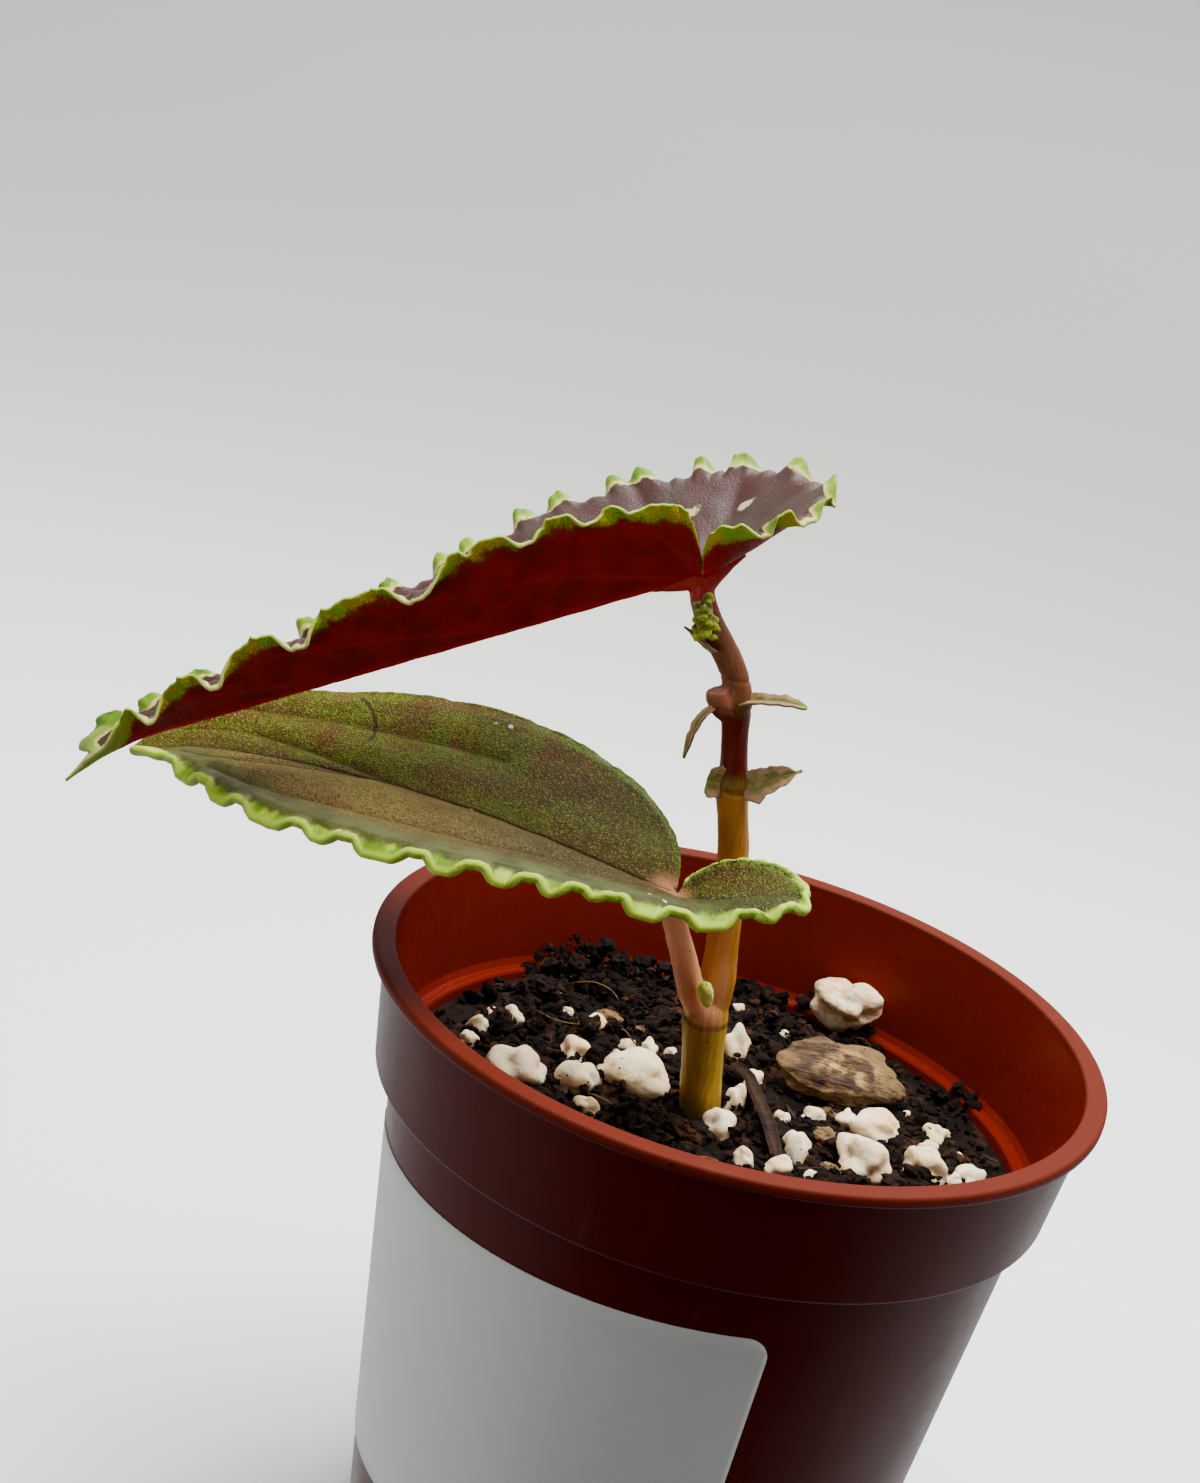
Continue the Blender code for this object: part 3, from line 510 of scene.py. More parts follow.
def makeLabel():
    bm = bmesh.new()
    for v in bmesh.ops.create_grid(bm, x_segments=1, y_segments=1, size=0.5)["verts"]:
        v.co = Vector((v.co.x * label["length"], v.co.y * label["height"], 0))
    bmesh.ops.bevel(bm, geom=bm.verts[:], offset=label["corner"], affect="VERTICES", segments=10,
                    profile=0.5, material=-1)
    for size, count, way in ((label["length"], label["columns"], Vector((1, 0, 0))),
                             (label["height"], label["rows"], Vector((0, 1, 0)))):
        for i in range(1, count):
            bmesh.ops.bisect_plane(bm, geom=bm.verts[:] + bm.edges[:] + bm.faces[:], dist=1e-7,
                                   plane_co=way * (size * (i / count - 0.5)), plane_no=way)
    for v in bm.verts:
        v.co = wrapOnBody(v.co.x, v.co.y)
    bmesh.ops.recalc_face_normals(bm, faces=bm.faces[:])
    middle = wrapOnBody(0, 0)
    nearest = min(bm.faces, key=lambda f: (f.calc_center_median() - middle).length)
    if nearest.normal.dot(Vector((middle.x, middle.y, 0))) < 0:
        bmesh.ops.reverse_faces(bm, faces=bm.faces[:])
    thicken(addPiece(bm, "blankLabel", "label", "label_film", labelMaterial()), label["thickness"], 1)
    print("label done")


# The potting mix: an uneven dark bed, crumbs, white perlite grains, bark and root fibres

mixBed = dict(z=56.6 * mm, swell=0.7 * mm, rearRise=2.6 * mm, rings=90, steps=320, floor=1.8 * mm,
              shaft=6 * mm, stemHole=2.3 * mm, crumbs=1000, clods=170, fineGrains=24, fibres=11, seed=11)
mixEdge = innerRadius(mixBed["z"])
stemFoot = Vector((-1.2, 1.9)) * mm
# large perlite grains: x, y, width and height in millimetres
bigGrains = [
    (-21.5, -1, 7.2, 4), (-16, 5.5, 4.2, 3.2), (-15, 0, 4.8, 3.8), (-13.5, -4.5, 3, 2.2),
    (-8.5, 4, 8.2, 3.7), (-10.5, 9.5, 2.4, 2.4), (-7.8, 11, 2.8, 2.7), (-5, 11.5, 1.7, 1.7),
    (2, 15.5, 3.4, 4.8), (4.2, 9.5, 3.2, 2.8), (2.4, 4.6, 3.3, 4), (1, -2, 4.3, 3.8),
    (9.5, -2.5, 3.3, 4.2), (3.8, -8.2, 2.7, 2.6), (7.7, -8.2, 3.4, 2.6), (11.5, -8, 2.4, 2),
    (11.5, 6.2, 2.7, 2.5), (8, 4.5, 2.6, 1.8), (15, 0.4, 2.4, 2.1), (16.8, -2.8, 7.4, 4.8),
    (18.5, 6, 5.8, 3.8), (23.6, -1, 5.6, 4.6), (25.5, 8.5, 3, 2.8), (29, 0.8, 3.8, 2.8),
    (-27, 6, 2.6, 2.8), (-25.5, 9, 2.4, 2), (-27.5, 2.5, 2.4, 2.2), (-17.5, 14.5, 1.6, 1.6),
    (-14.5, 13, 3, 2.4), (7.8, 22.5, 1.8, 1.8), (2, 26.5, 1.8, 1.7), (15.2, 7.2, 3.2, 2.4),
    (27, -1.5, 2.4, 2.2), (24.6, 5.4, 2.8, 2.2), (-23.6, 9.8, 3, 2.4), (20.8, 9.4, 1.8, 1.5),
    (-11, 7, 2.2, 2),
]
# heaps of loose soil, some of them up over the ledge: x, y, radius and height in mm, and crumbs
heaps = [
    (-16.5, 26.5, 6.8, 5, 230), (-8.5, 28, 4.6, 3.6, 120), (-5.6, -5.6, 5.2, 2.4, 200),
    (6.5, 23.5, 4.4, 2.8, 100), (3.5, 33, 2.6, 2, 40), (27.5, 18.5, 3.2, 1, 36),
    (11.5, 34.4, 1.4, 1.6, 14), (17, 28.5, 2.8, 1, 30), (-20, 17, 4.6, 1.6, 90), (6, 0.5, 2.6, 1.2, 50),
    (-24, 9, 3.6, 1, 60), (13, -6.5, 3.6, 0.9, 60), (21.5, 3, 3, 0.9, 60), (-9, 18, 6, 1.4, 170),
    (-22, 3, 3.6, 0.8, 70), (-18.5, -6, 3.6, 0.9, 70), (12, 3, 3.6, 0.9, 70), (23, 12, 4, 0.8, 70),
    (-4, 8.5, 3, 0.9, 60), (0, -13, 4, 0.8, 60), (4, 19, 4, 1.2, 80), (27, 4, 2.6, 0.8, 40),
]
chip = dict(centre=(13.8 * mm, 13.6 * mm), size=(14.4 * mm, 7.6 * mm, 3.4 * mm), turn=6, tilt=26)


def soilTop(x, y):
    reach = min(1.0, math.hypot(x, y) / mixEdge)
    rear = max(0.0, (y - 0.6 * x) / mixEdge) * (1 - reach ** 6)
    bumps = noise.noise(Vector((x, y, 0)) / (7 * mm)) + 0.5 * noise.noise(Vector((x, y, 1)) / (3 * mm))
    return mixBed["z"] + mixBed["rearRise"] * rear + mixBed["swell"] * bumps * (1 - 0.6 * reach ** 4)


def onSoil(x, y, rise):
    return x, y, soilTop(x, y) + rise


def supportUnder(x, y):
    # what carries a loose piece at a place: the sloping ledge, or the mix inside it
    radius, inner = math.hypot(x, y), ledgeInner + 0.4 * mm
    if radius > inner:
        return ledgeZ + max(0.5 * mm, pot["ledgeRise"] * min(1.0, (radius - inner) / (collarInner - inner)))
    return soilTop(x, y)


def soilMaterial():
    mat = newMaterial("pottingMix", 0.95, 0.1)
    place = objectPlace(mat)
    coarse, fine = noiseAt(place, 420, 6, 0.7), noiseAt(place, 2600, 4, 0.6)
    dark = mix(mask(coarse, 0.38, 0.66), rgb(12, 6, 4), rgb(36, 20, 12))
    dark = mix(mask(fine, 0.55, 0.75) * 0.5, dark, rgb(66, 38, 20))
    dark = mix(mask(noiseAt(place, 300), 0.56, 0.64) * 0.6, dark, rgb(78, 46, 24))
    damp = mask(noiseAt(place, 130, 2), 0.45, 0.6)
    dark = mix(damp * 0.45, dark, rgb(9, 6, 5))
    return finish(mat, dark, between(0.7, 1, fine), coarse + fine * 0.35, 0.6 * mm)


def perliteMaterial(name, stainFrom):
    mat = newMaterial(name, 0.9, 0.15)
    place = objectPlace(mat)
    cloud = noiseAt(place, 260, 4, 0.6)
    white = mix(mask(cloud, 0.35, 0.65), rgb(248, 212, 156), rgb(255, 238, 198))
    stain = mask(noiseAt(place, 380, 5, 0.7), stainFrom, stainFrom + 0.18)
    white = mix(stain * 0.55, white, rgb(160, 108, 62))
    white = mix(soilSpecks(place, 1300, 0.07), white, rgb(40, 24, 14))
    return finish(mat, white, between(0.8, 0.98, cloud), noiseAt(place, 1900, 4, 0.6), 0.1 * mm)


def barkMaterial(name, dark, brownTint, light, share):
    # layered bark: the share is how much of it shows the light wood, as wear, and over the chip's middle as a
    # painted highlight
    mat = newMaterial(name, 0.8, 0.2)
    place = objectPlace(mat)
    along = stretched(place, (0.2, 1, 1), (0, 0, math.radians(-8)))
    fibres, cloud = noiseAt(along, 1500, 6, 0.7, 0.6), noiseAt(place, 190, 4, 0.6)
    brown = mix(mask(fibres, 0.35, 0.65), dark, brownTint)
    # painted highlight: the light wood gathers in a streak over the middle of the chip, standing in for its
    # top-lit patch; the rest of it is wear
    middle = farFrom(stretched(place, (0.55, 1, 0)), (0.0081, 0.0128, 0))
    highlightStreak = mask(middle, 2.7 * mm, 0.6 * mm)
    wearAndHighlight = mask(cloud + fibres * 0.3, 0.54, 0.7) * (highlightStreak * 0.8 + 0.2)
    brown = mix(wearAndHighlight * share, brown, light)
    brown = mix(soilSpecks(place, 1300, 0.12), brown, rgb(20, 11, 6))
    return finish(mat, brown, between(0.6, 0.9, fibres), fibres + cloud, 0.3 * mm)


soil = soilMaterial()
perlite = perliteMaterial("perlite", 0.54)
barkWood = barkMaterial("barkWood", rgb(44, 28, 17), rgb(90, 66, 44), rgb(232, 188, 114), 0.9)
barkDark = barkMaterial("barkDark", rgb(20, 10, 6), rgb(46, 24, 12), rgb(112, 72, 34), 0.5)


def makeSoilBed():
    top, floor, hole = mixBed["z"], mixBed["floor"], mixBed["stemHole"]
    edge, foot = mixEdge - 0.05 * mm, innerRadius(floor + 0.6 * mm) - 0.2 * mm
    shaftFoot = top - mixBed["shaft"]
    path = [(0, shaftFoot), (hole, shaftFoot)]
    path += [(hole + (edge - hole) * i / mixBed["rings"], top) for i in range(mixBed["rings"] + 1)]
    path += [(foot, floor + 0.6 * mm), (foot - 0.9 * mm, floor), (0, floor)]
    bm = spinProfile([Vector(point) for point in path], mixBed["steps"])
    for v in bm.verts:
        if abs(v.co.z - shaftFoot) < 0.01 * mm:
            v.co += Vector((stemFoot.x, stemFoot.y, 0))
        if v.co.z < top - 0.1 * mm:
            continue
        radius = math.hypot(v.co.x, v.co.y)
        slide = max(0.0, 1 - radius / edge)
        x, y = v.co.x + stemFoot.x * slide, v.co.y + stemFoot.y * slide
        clod = noise.fractal(Vector((x, y, 0.02)) / (1.9 * mm), 0.8, 2.1, 4) * 0.42 * mm
        v.co = Vector(onSoil(x, y, clod * min(1.0, (edge - radius) / (1.5 * mm) + 0.25)))
    addPiece(bm, "soilBed", "potting_mix", "soil", soil)


def scatterSpots(rng, count, sizes, taken, limit, spacing):
    spots = []
    while len(spots) < count:
        x, y = polar(limit * math.sqrt(rng.random()), rng.uniform(0, fullTurn))
        size = rng.uniform(*sizes)
        if all(math.hypot(x - a, y - b) > spacing * size + r for a, b, r in taken):
            if spacing > 0.2:
                taken.append((x, y, spacing * size))
            spots.append((x, y, size))
    return spots


def inBatches(spots, addOne, size=40):
    # many lumps in one bmesh, made a few at a time because a small bmesh is quicker to add to
    whole = bmesh.new()
    for start in range(0, len(spots), size):
        part = bmesh.new()
        for i, spot in enumerate(spots[start:start + size], start):
            addOne(part, i, *spot)
        mesh = takeMesh(part, "batch")
        whole.from_mesh(mesh)
        bpy.data.meshes.remove(mesh)
    return whole


def makeGrains():
    rng = random.Random(mixBed["seed"])
    grains = bmesh.new()
    taken = [(*chip["centre"], 7.5 * mm), (*stemFoot, 2.9 * mm)]
    for i, (x, y, width, height) in enumerate(bigGrains):
        turn = turned(rng.uniform(0, math.pi), rng.uniform(-0.3, 0.3))
        size = (width * mm, rng.uniform(0.68, 0.86) * width * mm, 1.12 * height * mm)
        centre = onSoil(x * mm, y * mm, 0.16 * height * mm)
        addLump(grains, centre, size, 5 if width > 5 else 4, 0.42, i, turn, 0.03)
        taken.append((x * mm, y * mm, 0.5 * width * mm))
    fineSpots = scatterSpots(rng, mixBed["fineGrains"], (0.8 * mm, 2 * mm), taken, mixEdge - 1.2 * mm, 0.42)
    for i, (x, y, size) in enumerate(fineSpots):
        shape = (size, 0.8 * size, 0.85 * size)
        addLump(grains, onSoil(x, y, 0.25 * size), shape, 3, 0.4, 50 + i, None, 0.02)
    addPiece(grains, "perliteGrains", "potting_mix", "perlite", perlite)

    stemOnly = [(*stemFoot, 2 * mm)]
    clods = scatterSpots(rng, mixBed["clods"], (1.4 * mm, 3.2 * mm), stemOnly, mixEdge - mm, 0.15)
    crumbs = scatterSpots(rng, mixBed["crumbs"], (0.4 * mm, 1.3 * mm), stemOnly, mixEdge - mm, 0.1)
    strewn = [(x, y, size, 0.32 * size) for x, y, size in clods]
    strewn += [(x, y, size, 0.35 * mm + 0.2 * size) for x, y, size in crumbs]
    heaped = []
    for x, y, radius, height, count in heaps:
        for k in range(count):
            out = math.sqrt(rng.random())
            aside, back = polar(radius * out, rng.uniform(0, fullTurn))
            rise = height * (1 - out ** 2) * (k + 1) / count
            size = (0.5 + 2.1 * rng.random() ** 3) * mm
            heaped.append(((x + aside) * mm, (y + back) * mm, size, (0.3 + rise) * mm))
    # loose crumbs lie against every large grain
    for x, y, width, height in bigGrains:
        for _ in range(12):
            aside, back = polar(rng.uniform(0.46, 0.6) * width, rng.uniform(0, fullTurn))
            size, rise = rng.uniform(0.6, 1.5) * mm, rng.uniform(0.1, 0.35) * height * mm
            strewn.append(((x + aside) * mm, (y + back) * mm, size, rise))

    def addCrumb(bm, i, x, y, size, rise):
        turn = Matrix.Rotation(rng.uniform(0, math.pi), 3, "Z")
        shape = (size, rng.uniform(0.4, 0.9) * size, rng.uniform(0.4, 0.85) * size)
        large = size > 2.4 * mm
        # clear of the wall beside it: the body's below the ledge, the collar's above it
        radius = math.hypot(x, y)
        wall = mixEdge if radius < ledgeInner else collarInner
        shift = min(1.0, (wall - 0.7 * size) / max(radius, mm))
        x, y = x * shift, y * shift
        if radius > ledgeInner:
            rise = max(rise, 0.5 * shape[2])
        centre = (x, y, supportUnder(x, y) + rise)
        for v in addLump(bm, centre, shape, 3 if large else 2, 0.75, 200 + i, turn, 0.3 * large):
            # on the thin ledge it lies flat and isn't sunk in
            if math.hypot(v.co.x, v.co.y) > ledgeInner:
                v.co.z = max(v.co.z, supportUnder(v.co.x, v.co.y))

    addPiece(inBatches(strewn, addCrumb), "soilCrumbs", "potting_mix", "soil", soil)
    addPiece(inBatches(heaped, addCrumb), "soilHeaps", "potting_mix", "soil", soil)


def makeStrands():
    # root fibres and threads of bark that lie across the mix
    rng = random.Random(mixBed["seed"] + 1)
    curve = newCurve("rootFibres", 1)
    limit = mixEdge - 3 * mm
    for _ in range(mixBed["fibres"]):
        x, y = polar(limit * math.sqrt(rng.random()), rng.uniform(0, fullTurn))
        heading = rng.uniform(0, fullTurn)
        turn, thick, rise = rng.uniform(-0.3, 0.3), rng.uniform(0.05, 0.1), rng.uniform(0.4, 2) * mm
        count = rng.randint(7, 14)
        points = []
        for k in range(count):
            arch = math.sin(math.pi * k / (count - 1))
            points.append((x, y, soilTop(x, y) + 0.4 * mm + rise * arch, thick * (0.6 + 0.5 * arch)))
            heading += turn + rng.uniform(-0.15, 0.15)
            step = polar(0.75 * mm, heading)
            x, y = x + step[0], y + step[1]
            shrink = min(1.0, limit / max(math.hypot(x, y), mm))
            x, y = x * shrink, y * shrink
        addSpline(curve, points)
    addPiece(curveMesh(curve), "rootFibres", "potting_mix", "soil", barkWood)


# a dark strip of bark that curves over the mix in front of the chip
strip = dict(route=[(1.6, 7.4), (3.6, 6), (5.4, 1.7), (6.8, -3), (7.4, -6.6)], width=1.3 * mm,
             thickness=0.4 * mm, start=3.4, end=1.2)
barkBits = dict(count=46, sizes=(mm, 2.8 * mm), seed=31, brown=[
    (12.8, 7.6, 2.6), (12.8, 2.2, 3), (-12.6, 14.8, 3), (-9.6, 14.4, 2.4), (13.6, -5.4, 2.6)])


def makeBark():
    run = smoothRun(strip["route"], 8)
    last = len(run) - 1
    bm = bmesh.new()
    for v in bmesh.ops.create_grid(bm, x_segments=last, y_segments=6, size=1)["verts"]:
        i = round((v.co.x + 1) / 2 * last)
        ahead = Vector(run[min(i + 1, last)] - run[max(i - 1, 0)]).normalized()
        taper = 0.5 + 0.5 * math.sin(math.pi * (i + 1) / (len(run) + 1))
        side = Vector((-ahead.y, ahead.x)) * v.co.y * 0.5 * strip["width"] * taper
        x, y = run[i][0] * mm + side.x, run[i][1] * mm + side.y
        curl = 0.35 * mm * v.co.y ** 2 + 0.2 * mm * noise.noise(Vector((x, y, 0)) / mm)
        rise = strip["start"] + (strip["end"] - strip["start"]) * i / last
        v.co = Vector((x, y, soilTop(x, y) + rise * mm + curl))
    bmesh.ops.recalc_face_normals(bm, faces=bm.faces[:])
    bmesh.ops.solidify(bm, geom=bm.faces[:], thickness=strip["thickness"])
    rng = random.Random(barkBits["seed"])
    stemOnly, limit = [(*stemFoot, 2.2 * mm)], mixEdge - 1.6 * mm
    spots = scatterSpots(rng, barkBits["count"], barkBits["sizes"], stemOnly, limit, 0.2)
    for i, (x, y, size) in enumerate(spots):
        turn = turned(rng.uniform(0, math.pi), rng.uniform(-0.5, 0.5))
        shape = (size, rng.uniform(0.3, 0.6) * size, rng.uniform(0.2, 0.35) * size)
        addLump(bm, onSoil(x, y, 0.45 * mm), shape, 3, 0.8, 900 + i, turn, 0.3)
    addPiece(bm, "barkBits", "potting_mix", "bark", barkDark)
    pieces = bmesh.new()
    for i, (x, y, size) in enumerate(barkBits["brown"]):
        shape = (size * mm, 0.6 * size * mm, 0.5 * size * mm)
        addLump(pieces, onSoil(x * mm, y * mm, 0.6 * mm), shape, 4, 0.7, 88 + i, None, 0.3)
    addPiece(pieces, "barkChunks", "potting_mix", "bark", barkWood)


def makeChip():
    x0, y0 = chip["centre"]
    turn = turned(math.radians(chip["turn"]), math.radians(chip["tilt"]))
    bm = bmesh.new()
    addLump(bm, (0, 0, 0), chip["size"], 6, 0.3, 12, turn)
    rise = max(soilTop(x0 + v.co.x, y0 + v.co.y) - v.co.z for v in bm.verts)
    for v in bm.verts:
        layer = noise.fractal(Vector((v.co.x * 0.25, v.co.y, v.co.z * 1.6)) / (1.3 * mm), 0.8, 2.0, 5)
        ridge = noise.fractal(v.co / (3.2 * mm), 1.0, 2.0, 3)
        v.co += v.co.normalized() * (0.26 * layer + 0.45 * ridge) * mm
        v.co += Vector((x0, y0, rise + 0.3 * mm))
    addPiece(bm, "barkChip", "bark_chip", "bark", barkWood)


def makeLedgeGrain():
    low, high = (Vector(corner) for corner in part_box("perlite_on_ledge"))
    outward = Vector((*polar(1, math.atan2((low + high).y, (low + high).x)), 0))
    turn = turned(math.radians(64.5), 0.25, "ZY")
    bm = bmesh.new()
    addLump(bm, (0, 0, 0), (5.5 * mm, 8 * mm, 5.6 * mm), 6, 0.5, 5, turn, 0.035)
    reach = max(v.co.dot(outward) for v in bm.verts)
    for v in bm.verts:
        v.co += outward * (collarInner - 0.3 * mm - reach)
    rise = max(supportUnder(v.co.x, v.co.y) - v.co.z for v in bm.verts)
    for v in bm.verts:
        v.co.z += rise + 0.15 * mm
    # its perlite has more brown stain than the rest: partly real staining, partly painted warm light bounced
    # from the red pot
    addPiece(bm, "ledgePerlite", "perlite_on_ledge", "perlite", perliteMaterial("perliteStainAndBounce", 0.44))


# The stem: a short trunk that forks into the main stem and the lower leaf's stalk, with the stub of
# a leaf, and two flares into the upper blade, to the tip and to the lobe. Routes are x, y, z and
# radius in millimetres.

stem = dict(voxel=0.165 * mm, ridge=0.05 * mm, sides=6, rings=(94.2, 103.1, 106.3), routes=dict(
    trunk=[(0.3, 2.4, 50.2, 2.1), (-1.4, 1.8, 58.1, 2.3), (-2.5, 1.2, 64, 2.3), (-3.3, 0.8, 68.6, 2.5),
           (-3.5, 0.7, 70.6, 2.1), (-3.5, 0.7, 71.8, 1.2)],
    main=[(-3, 0.8, 68.2, 1.9), (-3, 0.8, 72.3, 2), (-3.4, 0.9, 76.3, 1.8), (-4, 1, 80.9, 1.75),
          (-4.7, 1.2, 86.5, 1.7), (-5.75, 1.3, 90.8, 1.65), (-6.5, 1.2, 93.6, 1.75), (-6.75, 1.2, 95, 1.85),
          (-7, 1.1, 96.2, 1.55), (-7.7, 1, 99.6, 1.45), (-8.3, 0.9, 102.6, 1.6), (-8.6, 0.8, 104.1, 1.75),
          (-8.9, 0.7, 105.4, 1.5), (-9.8, 0.6, 107.2, 1.45), (-11.3, 0.5, 109.2, 1.42),
          (-13, 0.3, 111.3, 1.38), (-14.3, 0.1, 113.4, 1.35), (-15, 0.05, 115.25, 1.3)],
    lower=[(-3.2, 0.6, 67.6, 1.6), (-4.4, 0, 69.9, 1.65), (-5.6, -1.1, 71.9, 1.5),
           (-7.2, -3.3, 76, 1.4), (-8.8, -5.9, 80, 1.3), (-9.8, -7.7, 82.7, 1.2), (-10.1, -8, 84.3, 1.15)],
    stub=[(-8.9, 0.4, 102.4, 1.2), (-10.2, -0.3, 103.6, 1.35), (-10.9, -0.6, 104.9, 1.1)],
    tipFlare=[(-14.9, 0.05, 114.6, 1.2), (-15.6, -0.1, 115.5, 1.1), (-17.8, -0.6, 114.6, 0.65),
              (-20.5, -1.1, 113.5, 0.2)],
    lobeFlare=[(-14.8, 0.05, 114.6, 1.1), (-14.2, 0.4, 115.8, 1), (-12.9, 0.9, 117.5, 0.65),
               (-11.4, 1, 119.2, 0.3)]))


def stemMaterial():
    mat = newMaterial("stemSkin", 0.4, 0.14, Subsurface_Weight=0.12, Subsurface_Radius=(1, 0.35, 0.15),
                      Subsurface_Scale=0.6 * mm)
    place = objectPlace(mat)
    _, depth, z = axesOf(place)
    wander = (noiseAt(place, 300) - 0.5) * (1.6 * mm)
    height = z + wander
    streaks = noiseAt(stretched(place, (1, 1, 0.05), (0, math.radians(8), 0)), 3200, 3, 0.6)
    tone = streaks * 0.6 + noiseAt(place, 420) * 0.4
    # from the soil up: how high a colour starts and is full, its dark and its light shade
    colour = mix(tone, rgb(150, 114, 14), rgb(194, 160, 52))
    for start, full, dark, light in (
            (67.5, 72, rgb(126, 68, 10), rgb(190, 130, 46)),
            (94.6, 96.4, rgb(82, 9, 1), rgb(108, 26, 6)),
            (102.5, 106, rgb(92, 46, 24), rgb(128, 82, 52)),
            (111.5, 114.8, rgb(132, 12, 8), rgb(170, 44, 32))):
        colour = mix(mask(height, start * mm, full * mm), colour, mix(tone, dark, light))
    # the dark seam under the fork and the greenish rings at the two joints of the stem
    for middle, half, tint in ((68.2, 0.6, rgb(70, 40, 14)), (95.2, 1.5, rgb(88, 70, 22)),
                               (103.9, 1.6, rgb(100, 70, 34))):
        ring = mask(abs(height - middle * mm), half * mm, 0.2 * half * mm)
        colour = mix(ring * 0.75, colour, tint)
    # the lower leaf's stalk stands in front of the main stem and is pinker
    front = mask(depth, -0.4 * mm, -1.8 * mm) * mask(height, 88 * mm, 86 * mm)
    front = front * mask(height, 67 * mm, 70.5 * mm)
    colour = mix(front, colour, mix(tone, rgb(232, 146, 92), rgb(248, 192, 144)))
    stubHere = mask(farFrom(place, (-0.0104, -0.0004, 0.1040)), 2.1 * mm, 1.3 * mm)
    colour = mix(stubHere * 0.85, colour, mix(tone, rgb(112, 56, 34), rgb(150, 92, 66)))
    colour = mix(soilSpecks(place, 1150, 0.05) * 0.7, colour, rgb(58, 24, 10))
    dirt = mask(z + wander * 1.5, 61.5 * mm, 58 * mm)
    colour = mix(dirt * 0.4, colour, rgb(48, 38, 8))
    dome = grain(stretched(place, (1, 1, 0.35)), 4200, 300)[2]
    return finish(mat, colour, between(0.3, 0.5, streaks), dome * 0.25 + streaks, 0.07 * mm)


def makeStem():
    curve = newCurve("stemBody", stem["sides"])
    for route in stem["routes"].values():
        addSpline(curve, [(x * mm, y * mm, z * mm, radius) for x, y, z, radius in smoothRun(route, 5)])
    piece = addPiece(curveMesh(curve), "stemBody", "stem", "stem", stemMaterial())
    fuse(piece, stem["voxel"], 6)
    # long fine ridges, and narrow rings at the joints
    shift = []
    for v in piece.data.vertices:
        ridge = noise.noise(Vector((v.co.x, v.co.y, v.co.z * 0.12)) / (0.55 * mm)) * stem["ridge"]
        ring = sum(math.exp(-((v.co.z - z * mm) / (0.22 * mm)) ** 2) for z in stem["rings"])
        shift.append(v.normal * (ridge - 0.09 * mm * ring))
    for v, step in zip(piece.data.vertices, shift):
        v.co += step
    print("stem done")


# The leaves. An outline runs from the sinus round one half of the blade to the tip, in
# millimetres: u along the midrib, v out from it. "fan" is the point up to which the side veins
# leave from the stalk. "waves" are the crests of the ruffled margin, as the way along it from
# the sinus, each with half its width and how deep the trough after it is. "rises" is how long
# the margin takes down into a trough and up out of it. "light" is how light the margin is.

upperNear = dict(
    outline=[(-0.4, 1.2), (-0.9, 4), (-0.8, 7.5), (1.2, 10.6), (5.5, 12.2), (12, 13.2), (20, 12.8), (30, 11),
             (40, 9.6), (49, 7.4), (57, 4.8), (63, 2.8), (67.5, 0)],
    fan=4, columns=16, side=-1, fold=66, twist=0, back=58, inner=52, ragged=0.2, light=1,
    waves=[(0, 0.5, 0.1), (8, 5, 0.3), (16.2, 0.6, 0.5), (21.7, 1, 0.7), (29, 1.6, 0.25), (32.4, 0.5, 1),
           (43.6, 3.2, 1.1), (54.6, 2.1, 0.95), (63.1, 1.6, 0.9), (69.4, 0.5, 0.9), (79, 0.5, 0)],
    rises=(4.5, 2), spikes=[(22.7, 0.25), (41.2, 0.4), (46.7, 0.4), (54.2, 0.45), (62.8, 0.5), (69.2, 0.4)],
    veins=[[(0, 0), (4, 2.2), (8, 4.1), (14, 6.2), (21, 7.2), (30, 8.6), (37, 9.4)],
           [(20, 0), (23, 2), (27, 3.2), (34, 5), (43, 6.6), (48, 7)],
           [(0, 0), (1.2, 4), (3.6, 8.4), (8, 11.8)],
           [(37, 0), (42, 2), (50, 3.8), (56, 4.4)]])
upperFar = dict(
    outline=[(-0.6, -1.6), (-2.3, -4.1), (-4.8, -5.6), (-8.6, -5), (-12, -3.6), (-15.4, 0.4), (-16.4, 4.4),
             (-13.8, 9.6), (-9, 13.2), (-3, 15), (4, 16), (11, 15.8), (18, 14.4), (26, 11.9), (35, 9.8),
             (45, 8), (53, 5.8), (59, 4.6), (63, 4.9), (65.4, 4.8), (66, 4), (65.3, 3), (64.6, 1.9),
             (67.5, 0)],
    fan=10, columns=46, side=1, fold=31, twist=0, back=16, inner=60, ragged=0.3, light=1,
    waves=[(0, 0.2, 0.1), (4.8, 2.9, 0.65), (11.6, 0.5, 0.6), (17.6, 0.5, 0.7), (21.5, 0.5, 0.8),
           (28.3, 0.5, 0.8), (34.9, 0.7, 0.7), (39.7, 0.4, 0.8), (46.6, 0.5, 0.4), (49.7, 0.2, 0.8),
           (55.8, 0.5, 0.6), (60, 0.4, 0.8), (66.6, 0.3, 0.5), (69.9, 0.3, 0.8), (75.9, 0.5, 0.9),
           (85.2, 0.4, 0.8), (91.3, 0.3, 0.7), (97.8, 0.9, 0.7), (103, 0.7, 0.6), (107.5, 0.9, 0.4),
           (119, 0.5, 0)],
    rises=(1.5, 1.5),
    spikes=[(22, 0.05), (28.9, 0.3), (34.4, 0.12), (40.2, 0.2), (55.4, 0.3), (75.5, 0.35), (97.2, 0.3)],
    veins=[[(0, 0), (-4, -0.8), (-8, -2), (-11.6, -3.2)],
           [(0, 0), (-5, 2.2), (-10, 4), (-15.6, 4.4)],
           [(0, 0), (-4, 4.6), (-7, 8.6), (-9.6, 12.4)],
           [(0, 0), (1, 5), (2.6, 10), (3.8, 15.4)],
           [(0, 0), (6, 3.6), (14, 7.6), (24, 10.4), (32, 10.6)],
           [(22, 0), (28, 3), (38, 6.2), (46, 7.4)],
           [(39, 0), (46, 2.6), (54, 4.6)]])
